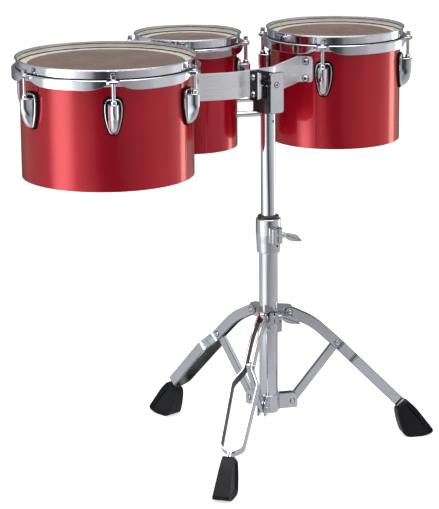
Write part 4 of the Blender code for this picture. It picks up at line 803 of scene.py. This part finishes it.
def seat_bolts(middle, out, degrees):
    shapes = []
    for rise in (0.0055, 0.032):
        root = middle + out * (ARM_THICK / 2.0)
        at = COLUMN @ shift(root.x, root.y, ARM_LOW + rise) @ turn(degrees) @ LIE
        shapes += set_at(dome(0.0052, 0.0026, 0.0021), at)
    return shapes


far, near, middle, out = seat_line("left", -36.0, -1.0)
end = Vector((-0.0285, 0.0145, 0.0))
run = end.x - far.x
corners = [(*near, 0.0), (*far, 0.007)]
for i in range(1, 7):
    t = i / 7.0
    y = ((2 * t**3 - 3 * t**2 + 1) * far.y + (t**3 - 2 * t**2 + t) * run * -0.364
         + (3 * t**2 - 2 * t**3) * end.y + (t**3 - t**2) * run * 0.1)
    corners.append((far.x + run * t, y, 0.0, 0.006))
corners += [(*end, 0.0042), (end.x, -0.014, 0.0, 0.0)]
line, marks = course(corners)
left_bar = flat_bar(line, marks, 0.006, 0.0025)
# The black plate on the arm's sharp end is painted shade: a dark sheet for the shade on the end's face.
washer = block((-0.0319, -0.0305), (-0.014, 0.0024), (ARM_LOW - 0.002, ARM_LOW + ARM_TALL + 0.002), 0.0004)
shapes = [(left_bar, COLUMN @ shift(z=ARM_LOW), BRUSHED), (washer, COLUMN, BLACK_AND_PAINTED_SHADE)] + seat_bolts(middle, out, -36.0)
for rise in (0.0075, 0.0328):
    shapes += set_at(dome(0.0046, 0.0026, 0.002), COLUMN @ shift(-0.0319, -0.0058, ARM_LOW + rise) @ turn(180.0) @ LIE)
piece("left_arm_bent", "left_arm", shapes)

far, near, middle, out = seat_line("right", 204.9, 1.0)
corners = [(-0.0255, 0.0163, 0.0, 0.0), (0.022, 0.0163, 0.0, 0.008), (*far, 0.007), (*near, 0.0)]
line, marks = course(corners)
right_bar = flat_bar(line, marks, 0.002, 0.006)
piece("right_arm_bent", "right_arm",
      [(right_bar, COLUMN @ shift(z=ARM_LOW), BRUSHED)] + seat_bolts(middle, out, 204.9))
print("arms bent")

# %% [markdown]
# ## Receiver and its wing screw
# The receiver is a casting that clamps on the upper tube: a block below, a face plate with round corners
# towards the player, a back wall and an ear for the left arm. Plates on the three planes build it, with
# a socket screw on the face. The block below is dark steel as painted shade, and the black ring round the
# screw and its black socket are painted shade too. The black screw beside the tube stands upright with two wings.

# %% Build the receiver
face_plate = plate([(-0.0122, 0.523, 0.0042), (0.0136, 0.523, 0.0042), (0.0136, 0.5845, 0.0042),
                    (-0.0122, 0.5845, 0.0042)], 0.004, 0.0008, 6, 3)
# The lower block gets the dark steel as painted shade.
lower_block = block((-0.019, 0.0126), (-0.018, 0.014), (0.524, 0.546), 0.0009, 0.0035)
right_wall = block((0.0114, 0.0126), (-0.018, 0.0135), (0.5455, 0.5805), 0.0003)
back_wall = block((-0.0262, 0.0116), (0.0114, 0.01375), (0.5455, 0.586), 0.0005)
ear = block((-0.026, -0.0234), (-0.0135, 0.0124), (0.547, 0.585), 0.0006)
collar = lathe([(0.0114, 0.5235), (0.0127, 0.5235, 0.0003), (0.0127, 0.547, 0.0003), (0.0114, 0.547)], 64)
# The black ring round the face screw and its black hexagon socket are painted shade.
painted_shade_ring = lathe([(0.0, -0.001), (0.0047, -0.001), (0.0047, 0.0002, 0.0001), (0.0, 0.0002)], 48, closed=False)
screw = lathe([(0.0, -0.001), (0.0037, -0.001), (0.0037, 0.0006, 0.0003), (0.0, 0.0006)], 48, closed=False)
socket = lathe([(0.0, 0.0002), (0.0017, 0.0002), (0.0017, 0.0008), (0.0, 0.0008)], 6, closed=False)
on_face = COLUMN @ shift(0.0, -0.021, 0.566) @ turn(90.0, "X")
piece("receiver_cast", "receiver", [
    (face_plate, COLUMN @ shift(y=-0.021) @ UPRIGHT, painted_rim_shade(CAST)), (lower_block, COLUMN, PAINTED_SHADE), (right_wall, COLUMN, CAST),
    (back_wall, COLUMN, CAST), (ear, COLUMN, CAST), (collar, COLUMN, NYLON), (painted_shade_ring, on_face, BLACK_AND_PAINTED_SHADE),
    (screw, on_face, BAR), (socket, on_face, BLACK_AND_PAINTED_SHADE),
])

# %% Build the wing screw
shank = lathe([(0.0, 0.536), (0.0024, 0.536, 0.0004), (0.0024, 0.5662), (0.004, 0.5666, 0.0003),
               (0.004, 0.5752, 0.001), (0.0026, 0.5798, 0.0008), (0.0, 0.58)], 32, closed=False)
wings = plate([(-0.0138, 0.5662, 0.0034), (-0.004, 0.5662, 0.002), (0.004, 0.5662, 0.002), (0.0138, 0.5662, 0.0034),
               (0.0138, 0.575, 0.0034), (0.0045, 0.5735, 0.003), (-0.0045, 0.5735, 0.003), (-0.0138, 0.575, 0.0034)],
              0.0042, 0.0012, 5, 3)
across_y = COLUMN @ shift(-0.0149, -0.011) @ turn(90.0) @ shift(y=-0.0021) @ UPRIGHT
piece("receiver_screw_black", "receiver_wing_screw",
      [(shank, COLUMN @ shift(-0.0149, -0.011), BLACK_AND_PAINTED_SHADE), (wings, across_y, BLACK_AND_PAINTED_SHADE)])

# %% [markdown]
# ## Tubes
# The column is two chromed tubes, one sliding in the other. Real tube ends are never knife sharp, so the
# lips are rounded. A small black plug closes the locating hole near the bracket, and another the clamp's.

# %% Turn the tubes
outer_tube = lathe([(0.0128, 0.058, 0.0003), (0.0143, 0.058, 0.0004), (0.0143, 0.335, 0.0004), (0.0128, 0.335, 0.0003)], 96)
piece("lower_tube_chromed", "lower_tube", [(outer_tube, COLUMN, CHROME)])
inner_tube = lathe([(0.0, 0.562), (0.0096, 0.562, 0.0002), (0.0096, 0.13, 0.0003), (0.0111, 0.13, 0.0004),
                    (0.0111, 0.564, 0.0009), (0.0, 0.564)], 96, closed=False)
plug = lathe([(0.0, -0.0012), (0.0019, -0.0012), (0.0019, 0.0001, 0.0001), (0.0, 0.00025)], 32, closed=False)
piece("upper_tube_chromed", "upper_tube", [
    (inner_tube, COLUMN, CHROME),
    (plug, COLUMN @ shift(z=0.51) @ turn(-84.0) @ shift(0.0111) @ LIE, GASKET_AND_PAINTED_SHADE),
])

# %% [markdown]
# ## Split clamps and wing bolts
# Height clamp and leg collar are rings with a split boss that a wing bolt pulls together. Two plates with
# a thin gap between them make the boss. The bolt's wing is a flat leaf that droops from its hub: its
# outline widens and narrows along a bent spine, its rims are well rounded, and a shallow inset leaves the
# raised line round its faces.

# %% Boss and wing bolt
def split_boss(angle, root, reach, half, low, high, corner=0.0026):
    """Two cheeks on either side of the slit; the outer corners are rounded."""
    shapes = []
    for side in (-1.0, 1.0):
        flat = [(root, side * 0.0008), (reach, side * 0.0008, 0.0006), (reach, side * half, corner), (root, side * half)]
        cheek = plate(flat, high - low, 0.0008, 5, 3)
        shapes.append((cheek, COLUMN @ turn(angle) @ shift(z=low), painted_rim_shade(CAST)))
    return shapes


def wing_bolt(start):
    """Shank, hub and leaf along +X, measured from the slit."""
    shank = lathe([(0.0, -0.0075), (0.003, -0.0075, 0.0005), (0.003, start), (0.0045, start, 0.0006),
                   (0.0043, start + 0.0035, 0.001), (0.0039, start + 0.006, 0.0012), (0.0, start + 0.006)],
                  40, closed=False)
    leaf = plate([(start + 0.003, -0.0024, 0.0012), (start + 0.003, 0.0026, 0.0012), (start + 0.009, 0.0019, 0.004),
                  (start + 0.0255, -0.0018, 0.005), (start + 0.0345, -0.0118, 0.001), (start + 0.0338, -0.0138, 0.001),
                  (start + 0.024, -0.0132, 0.006), (start + 0.0115, -0.0098, 0.005), (start + 0.007, -0.0055, 0.003)],
                 0.0052, 0.0014, 6, 4)
    for side in (-1.0, 1.0):
        sink(leaf, side, ((0.0005, 0.0), (0.0004, -0.0005)))
    return [(shank, LIE, CAST), (leaf, shift(y=-0.0026) @ UPRIGHT, CAST)]


# %% Height clamp
barrel = lathe([(0.0146, 0.3094, 0.0004), (0.0177, 0.3094, 0.001), (0.0182, 0.326, 0.002), (0.0192, 0.336, 0.003),
                (0.0189, 0.3617, 0.0014), (0.0162, 0.3617), (0.0162, 0.3353), (0.0146, 0.3353)], 96, segments=4)
bushing = lathe([(0.0114, 0.3355), (0.0161, 0.3355), (0.0161, 0.366, 0.0009), (0.0114, 0.366, 0.0005)], 96)
shapes = [(barrel, COLUMN, CAST), (bushing, COLUMN, NYLON),
          (plug, COLUMN @ shift(z=0.3205) @ turn(280.0) @ shift(0.0181) @ LIE, GASKET_AND_PAINTED_SHADE)] + split_boss(262.7, 0.0149, 0.0285, 0.009, 0.3265, 0.3505)
piece("height_clamp_cast", "height_clamp", shapes, 38.0)


def on_boss(angle, distance, height):
    x, y = distance * math.cos(math.radians(angle)), distance * math.sin(math.radians(angle))
    return COLUMN @ shift(x, y, height) @ turn(angle + 90.0)


piece("height_wing_cast", "height_wing_bolt", set_at(wing_bolt(0.0093), on_boss(262.7, 0.0235, 0.3385)), 38.0)

# %% [markdown]
# ## Leg collar, memory lock and strut collar
# The leg collar slides and carries the legs: a sleeve under a star plate with three ears. The memory lock
# under it is a plain ring that remembers its height. The strut collar is fixed at the tube's foot and has
# a pair of cheeks with a pin for each strut.

# %% Leg collar
LEGS = {"front": 216.1, "right": 336.1, "rear": 96.1}
star = []
for angle in sorted(LEGS.values()):
    for reach, swing, corner in ((0.036, -9.0, 0.003), (0.036, 9.0, 0.003), (0.0192, 60.0, 0.006)):
        a = math.radians(angle + swing)
        star.append((reach * math.cos(a), reach * math.sin(a), corner))
star_plate = plate(star, 0.002, 0.0005, 5, 3)
sleeve = lathe([(0.0146, 0.203, 0.0003), (0.017, 0.203, 0.0008), (0.017, 0.2242, 0.0006), (0.0146, 0.2242, 0.0003)], 96)
shapes = [(sleeve, COLUMN, CAST), (star_plate, COLUMN @ shift(z=0.2223), painted_rim_shade(CAST))]
for angle in LEGS.values():
    ear = plate([(0.0155, 0.204), (0.038, 0.204, 0.006), (0.038, 0.2226, 0.004), (0.0155, 0.2226)], 0.0074, 0.0007, 6, 3)
    shapes.append((ear, COLUMN @ turn(angle) @ shift(y=-0.0037) @ UPRIGHT, painted_rim_shade(CAST)))
shapes += split_boss(250.0, 0.0149, 0.0285, 0.0075, 0.2033, 0.2211, 0.0022)
piece("leg_collar_cast", "leg_collar", shapes, 38.0)
piece("collar_wing_cast", "collar_wing_bolt", set_at(wing_bolt(0.0078), on_boss(250.0, 0.0238, 0.2122)), 38.0)

# %% Memory lock and strut collar
ring = lathe([(0.0146, 0.1841, 0.0003), (0.01675, 0.1841, 0.0008), (0.01675, 0.2021, 0.0008), (0.0146, 0.2021, 0.0003)], 96)
key = lathe([(0.0, 0.0153), (0.0038, 0.0153), (0.0038, 0.019, 0.0005), (0.0024, 0.0192), (0.0024, 0.0225, 0.0006),
             (0.0, 0.0225)], 32, closed=False)
piece("memory_lock_cast", "memory_lock",
      [(ring, COLUMN, CAST), (key, COLUMN @ shift(z=0.1931) @ turn(232.0) @ LIE, BAR)]
      + split_boss(322.7, 0.0149, 0.0205, 0.006, 0.1851, 0.2011, 0.0016), 38.0)

ring = lathe([(0.0146, 0.0617, 0.0003), (0.017, 0.0617, 0.0008), (0.017, 0.0865, 0.0008), (0.0146, 0.0865, 0.0003)], 96)
shapes = [(ring, COLUMN, CAST)]
for angle in LEGS.values():
    for side in (-1.0, 1.0):
        cheek = plate([(0.0155, 0.0622), (0.044, 0.0622, 0.0022), (0.044, 0.086, 0.0075), (0.0155, 0.086)],
                      0.0024, 0.0005, 6, 2)
        shapes.append((cheek, COLUMN @ turn(angle) @ shift(y=0.004 if side > 0 else -0.0064) @ UPRIGHT, painted_rim_shade(CAST)))
piece("strut_collar_cast", "strut_collar", shapes, 38.0)
print("column fittings done")

# %% [markdown]
# ## Legs and struts
# Each leg is a pair of straps that run close together from the collar, spread out beside the strut's
# pivot and meet again in the shoe. Each strap is a straight bar with a round end, carried along its
# course. Rivets and the pivot pin are turned.

# %% Bend the straps
PIVOT, BEND, MIDDLE, ENTRY = (0.032, 0.214), (0.07, 0.195), (0.107, 0.16), (0.2113, 0.0537)
FALL = (ENTRY[1] - MIDDLE[1]) / (ENTRY[0] - MIDDLE[0])


def lower_height(x):
    return MIDDLE[1] + (x - MIDDLE[0]) * FALL


def strap(side):
    corners = [(*PIVOT, 0.0055, 0.0), (*BEND, 0.0055, 0.017)]
    for x, spread, cut in ((0.112, 0.0055, 0.004), (0.129, 0.0195, 0.005), (0.202, 0.0165, 0.006), (0.2078, 0.0019, 0.002)):
        corners.append((x, lower_height(x), spread, cut))
    corners.append((0.2148, lower_height(0.2148), 0.0019, 0.0))
    line, marks = course([(x, side * spread, z, cut) for x, z, spread, cut in corners])
    length = marks[-1]
    outline = [(-0.0079, -0.008, 0.0076), (length, -0.008, 0.002), (length, 0.008, 0.002), (-0.0079, 0.008, 0.0076)]
    bar = plate(outline, 0.003, 0.0007, 8, 3)
    bmesh.ops.translate(bar, vec=(0, 0, -0.0015), verts=bar.verts[:])
    return bent(bar, line, marks, lambda direction: Vector((0, 1, 0)).cross(direction).normalized() * -1.0)


def head_with_shade_ring(radius, base, top):
    """A rivet or pin head over a black ring that is painted shade for the dark line of its joint."""
    line = lathe([(0.0, base), (radius * 1.22, base), (radius * 1.22, base + 0.0003, 0.0001), (0.0, base + 0.0003)],
                 40, closed=False)
    head = lathe([(0.0, base), (radius, base), (radius, base + (top - base) * 0.6, 0.0004), (radius * 0.62, top, 0.0004),
                  (radius * 0.5, top - 0.0005), (radius * 0.2, top - 0.0005), (0.0, top - 0.0003)], 40, closed=False)
    return [(line, BLACK_AND_PAINTED_SHADE), (head, BAR)]


straps = [strap(1.0), strap(-1.0)]
pin = lathe([(0.0, -0.0071), (0.0025, -0.0071), (0.0025, 0.0071), (0.0, 0.0071)], 32, closed=False)
leg_heads, mid_heads = head_with_shade_ring(0.0036, 0.0069, 0.0083), head_with_shade_ring(0.004, 0.0069, 0.0085)
strut_heads = head_with_shade_ring(0.0036, 0.0063, 0.0081)
LIE_Y = turn(-90.0, "X")

# %% [markdown]
# The shoes are moulded rubber. The photograph shows a pointed toe, a flat sole and a sunken side panel
# with a lengthwise groove. One outline is pulled through, widened towards the sole, and its sides get
# the panel by two insets.

# %% Mould the shoe
SHOE = [(-0.0073, -0.0075, 0.003), (0.0077, 0.0043, 0.0025), (0.0127, 0.0018, 0.0025), (0.0232, -0.0082, 0.006),
        (0.0502, -0.0442, 0.0025), (0.0492, -0.0492, 0.0025), (0.0352, -0.0537, 0.006), (0.0112, -0.0537, 0.004),
        (0.0032, -0.0502, 0.004), (-0.0033, -0.0337, 0.008), (-0.0075, -0.0152, 0.004)]
shoe = plate([(ENTRY[0] + x, ENTRY[1] + z, corner) for x, z, corner in SHOE], 2.0, 0.0, 4)
for vert in shoe.verts:
    half = 0.0135 + (0.009 - 0.0135) * vert.co.y / (ENTRY[1] + 0.0043)
    vert.co.z = half if vert.co.z > 1.0 else -half
soften(shoe, 0.0016, 60.0, 4)
for side in (-1.0, 1.0):
    sink(shoe, side, ((0.0022, 0.0), (0.0008, -0.0016), (0.003, 0.0), (0.0008, -0.0012)))

# %% Flat bar struts
low_pivot, top_pivot = Vector((0.036, 0.073)), Vector(MIDDLE)
reach = (top_pivot - low_pivot).length
strut_bar = plate([(-0.0064, -0.0064, 0.0061), (reach + 0.0064, -0.0064, 0.0061), (reach + 0.0064, 0.0064, 0.0061),
                   (-0.0064, 0.0064, 0.0061)], 0.007, 0.0007, 8, 3)
tilt = math.degrees(math.atan2(top_pivot.y - low_pivot.y, top_pivot.x - low_pivot.x))
strut_pin = lathe([(0.0, -0.0068), (0.0025, -0.0068), (0.0025, 0.0068), (0.0, 0.0068)], 32, closed=False)

# %% Stand the three legs up
for name, angle in LEGS.items():
    leg = COLUMN @ turn(angle)
    across = leg.to_3x3() @ Vector((0.0, 1.0, 0.0))

    # Rims and the strap faces that look towards the other strap get dark steel: painted shade between the pair.
    def outside(face, leg=leg.inverted(), across=across):
        inward = face.normal.dot(across) * (leg @ face.calc_center_median()).y < 0.0
        return PAINTED_SHADE if face.material_index == RIM or inward and abs(face.normal.dot(across)) > 0.45 else BAR

    shapes = [(strap_, leg, outside) for strap_ in straps]
    shapes.append((pin, leg @ shift(PIVOT[0], 0.0, PIVOT[1]) @ LIE_Y, BAR))
    for flip in (0.0, 180.0):
        for heads, (x, z) in ((mid_heads, MIDDLE), (leg_heads, PIVOT)):
            shapes += [(bm, leg @ shift(x, 0.0, z) @ turn(flip) @ LIE_Y, finish) for bm, finish in heads]
    piece(name + "_leg_bent", name + "_leg", shapes)
    piece(name + "_foot_rubber", name + "_foot", [
        (shoe, leg @ UPRIGHT, RUBBER),
    ], 42.0)
    at_low = leg @ shift(low_pivot.x, 0.0, low_pivot.y)
    shapes = [(strut_bar, at_low @ turn(-tilt, "Y") @ shift(y=-0.0035) @ UPRIGHT, painted_rim_shade(BAR)), (strut_pin, at_low @ LIE_Y, BAR)]
    for flip in (0.0, 180.0):
        shapes += [(bm, at_low @ turn(flip) @ LIE_Y, finish) for bm, finish in strut_heads]
    piece(name + "_strut_bar", name + "_strut", shapes)
print("legs stand at", sorted(LEGS.values()))

# %% [markdown]
# ## Floor and light
# The set stands on white acrylic that is lit from below, as in a catalogue studio. Chrome shows only what
# surrounds it, so the studio matters more than the metal. Two tall soft boxes to the left and right give
# the drums their bright bands, and a large one above fills the tops. A graded card, seen only by the
# reflections, hides the white floor from the chrome, which gives the metal its contrast.

# %% Lay the floor
def sheet(name, material, matrix, seen=True):
    """A flat square two units wide, set up in the studio; unseen ones only show in reflections."""
    bm = bmesh.new()
    bmesh.ops.create_grid(bm, x_segments=1, y_segments=1, size=1.0)
    mesh = bpy.data.meshes.new(name)
    bm.to_mesh(mesh)
    bm.free()
    made = bpy.data.objects.new(name, mesh)
    bpy.context.scene.collection.objects.link(made)
    mesh.materials.append(material)
    made.matrix_world = matrix
    if not seen:
        made.visible_camera = made.visible_diffuse = made.visible_shadow = made.visible_transmission = False
    return made


ACRYLIC = Finish("lit_acrylic", 0.6)
ACRYLIC.tones(ACRYLIC.noise(2.0, 3.0), (0.84, 0.84, 0.84), (0.88, 0.88, 0.88))
ACRYLIC.bump(ACRYLIC.noise(300.0, 2.0), 0.02, 0.0003)
ACRYLIC.shader.inputs["Emission Color"].default_value = (1.0, 1.0, 1.0, 1.0)
ACRYLIC.shader.inputs["Emission Strength"].default_value = 0.62
floor = sheet("studio_floor", ACRYLIC.material, shift(z=-0.0004) @ Matrix.Diagonal((14.0, 14.0, 1.0, 1.0)))
floor.visible_glossy = False

# Further out than 1.5 m the card serves the drums, nearer in the tubes and legs. Its shades follow the bearing
# from the stand, and the far ones are turned on with the distance, like a spiral.
FAR = [(-180, 1.2), (-167, 1.05), (-158, 0.8), (-149, 0.48), (-139, 0.06), (-130, 0.01), (-120, 0.06), (-109, 0.27),
       (-95, 0.36), (-79, 0.45), (-62, 0.6), (-46, 0.66), (-26, 0.85), (0, 0.6), (30, 0.15), (85, 0.12), (115, 0.45),
       (150, 0.6), (168, 1.15), (180, 1.2)]
NEAR = [(-180, 1.2), (-166, 1.1), (-156, 0.85), (-137, 0.26), (-113, 0.28), (-90, 0.37), (-65, 0.42), (-37, 0.47),
        (0, 0.47), (70, 0.35), (117, 0.46), (151, 0.5), (168, 1.1), (180, 1.2)]
CARD = Finish("graded_card", 1.0)
CARD.shader.inputs["Base Color"].default_value = (0.0, 0.0, 0.0, 1.0)


def shades(stops, place):
    """Colours by bearing; the stops are (degrees, glow)."""
    bearing = CARD.node("TexGradient", gradient_type="RADIAL")
    CARD.link(place, bearing.inputs[0])
    scale = CARD.node("ValToRGB")
    scale.color_ramp.interpolation = "EASE"
    while len(scale.color_ramp.elements) < len(stops):
        scale.color_ramp.elements.new(0.5)
    for stop, (degrees, glow) in zip(scale.color_ramp.elements, stops):
        stop.position, stop.color = (degrees + 180.0) / 360.0, (glow * 0.97, glow * 0.98, glow * 1.03, 1.0)
    CARD.link(bearing.outputs["Fac"], scale.inputs["Fac"])
    return scale.outputs["Color"]


def by_distance(nearest, furthest, low=0.0, high=1.0):
    """A value that goes from low to high between two distances from the stand in metres."""
    ramp = CARD.node("MapRange", interpolation_type="SMOOTHSTEP")
    for socket, value in (("From Min", nearest / 6.0), ("From Max", furthest / 6.0), ("To Min", low), ("To Max", high)):
        ramp.inputs[socket].default_value = value
    CARD.link(away.outputs["Value"], ramp.inputs["Value"])
    return ramp.outputs["Result"]


def blend(first, second, share):
    mix = CARD.node("Mix", data_type="RGBA")
    for socket, value in (("A", first), ("B", second)):
        if isinstance(value, tuple):
            mix.inputs[socket].default_value = value
        else:
            CARD.link(value, mix.inputs[socket])
    CARD.link(share, mix.inputs["Factor"])
    return mix.outputs["Result"]


away = CARD.node("VectorMath", operation="LENGTH")
CARD.link(CARD.place, away.inputs[0])
spiral = CARD.node("VectorRotate", rotation_type="Z_AXIS")
CARD.link(CARD.place, spiral.inputs["Vector"])
CARD.link(by_distance(1.5, 2.5, math.radians(-19.0), 0.0), spiral.inputs["Angle"])
around = blend(shades(NEAR, CARD.place), shades(FAR, spiral.outputs["Vector"]), by_distance(1.2, 1.5))
CARD.link(blend((0.52, 0.525, 0.55, 1.0), around, by_distance(0.3, 0.9)), CARD.shader.inputs["Emission Color"])
CARD.shader.inputs["Emission Strength"].default_value = 1.0
sheet("graded_card", CARD.material, shift(z=-0.0002) @ Matrix.Diagonal((6.0, 6.0, 1.0, 1.0)), seen=False)


# %% Set up the lights
def soft_box(name, bearing, distance, width, tall, strength, soft, tint=(1.0, 1.0, 1.0), seen=False):
    """An upright glowing panel on the floor that fades over its outer share to both sides."""
    glow = Finish(name, 1.0)
    glow.shader.inputs["Base Color"].default_value = (0.0, 0.0, 0.0, 1.0)
    glow.shader.inputs["Emission Color"].default_value = (*tint, 1.0)
    glow.shader.inputs["Emission Strength"].default_value = strength
    axes = glow.node("SeparateXYZ")
    glow.link(glow.place, axes.inputs[0])
    side = glow.node("Math", operation="ABSOLUTE")
    glow.link(axes.outputs["X"], side.inputs[0])
    fade = glow.node("MapRange", interpolation_type="SMOOTHSTEP")
    for socket, value in (("From Min", 1.0 - soft), ("From Max", 1.0), ("To Min", 1.0), ("To Max", 0.0)):
        fade.inputs[socket].default_value = value
    glow.link(side.outputs[0], fade.inputs["Value"])
    glow.link(fade.outputs["Result"], glow.shader.inputs["Alpha"])
    a = math.radians(bearing)
    place = shift(distance * math.cos(a), distance * math.sin(a), tall / 2.0) @ turn(bearing + 90.0) @ turn(90.0, "X")
    made = sheet(name, glow.material, place @ Matrix.Diagonal((width / 2.0, tall / 2.0, 1.0, 1.0)), seen=False)
    made.visible_diffuse = True
    return made


soft_box("soft_box_left", 175.0, 1.45, 1.0, 0.62, 3.6, 0.85, (0.82, 1.04, 1.0))
soft_box("soft_box_right", 351.0, 1.5, 0.5, 0.62, 3.6, 0.6, (0.82, 1.04, 1.0))
soft_box("pale_wall", 304.0, 2.1, 1.7, 1.9, 0.62, 0.6, (0.95, 0.97, 1.0))

above = bpy.data.lights.new("soft_box_above", "AREA")
above.shape, above.size, above.size_y, above.energy = "RECTANGLE", 2.4, 2.4, 46.0
lamp = bpy.data.objects.new("soft_box_above", above)
bpy.context.scene.collection.objects.link(lamp)
lamp.location = (-0.3, -0.4, 2.3)
lamp.rotation_euler = (-lamp.location).to_track_quat("-Z", "Y").to_euler()
lamp.visible_camera = False

world = bpy.data.worlds.new("studio_air")
world.use_nodes = True
nodes, links = world.node_tree.nodes, world.node_tree.links
up = nodes.new("ShaderNodeSeparateXYZ")
links.new(nodes.new("ShaderNodeTexCoord").outputs["Generated"], up.inputs[0])
sky = nodes.new("ShaderNodeValToRGB")
sky.color_ramp.elements[0].position, sky.color_ramp.elements[1].position = 0.2, 0.6
sky.color_ramp.elements[0].color, sky.color_ramp.elements[1].color = (0.16, 0.16, 0.17, 1.0), (0.7, 0.71, 0.74, 1.0)
links.new(up.outputs["Z"], sky.inputs["Fac"])
links.new(sky.outputs["Color"], nodes["Background"].inputs["Color"])
bpy.context.scene.world = world
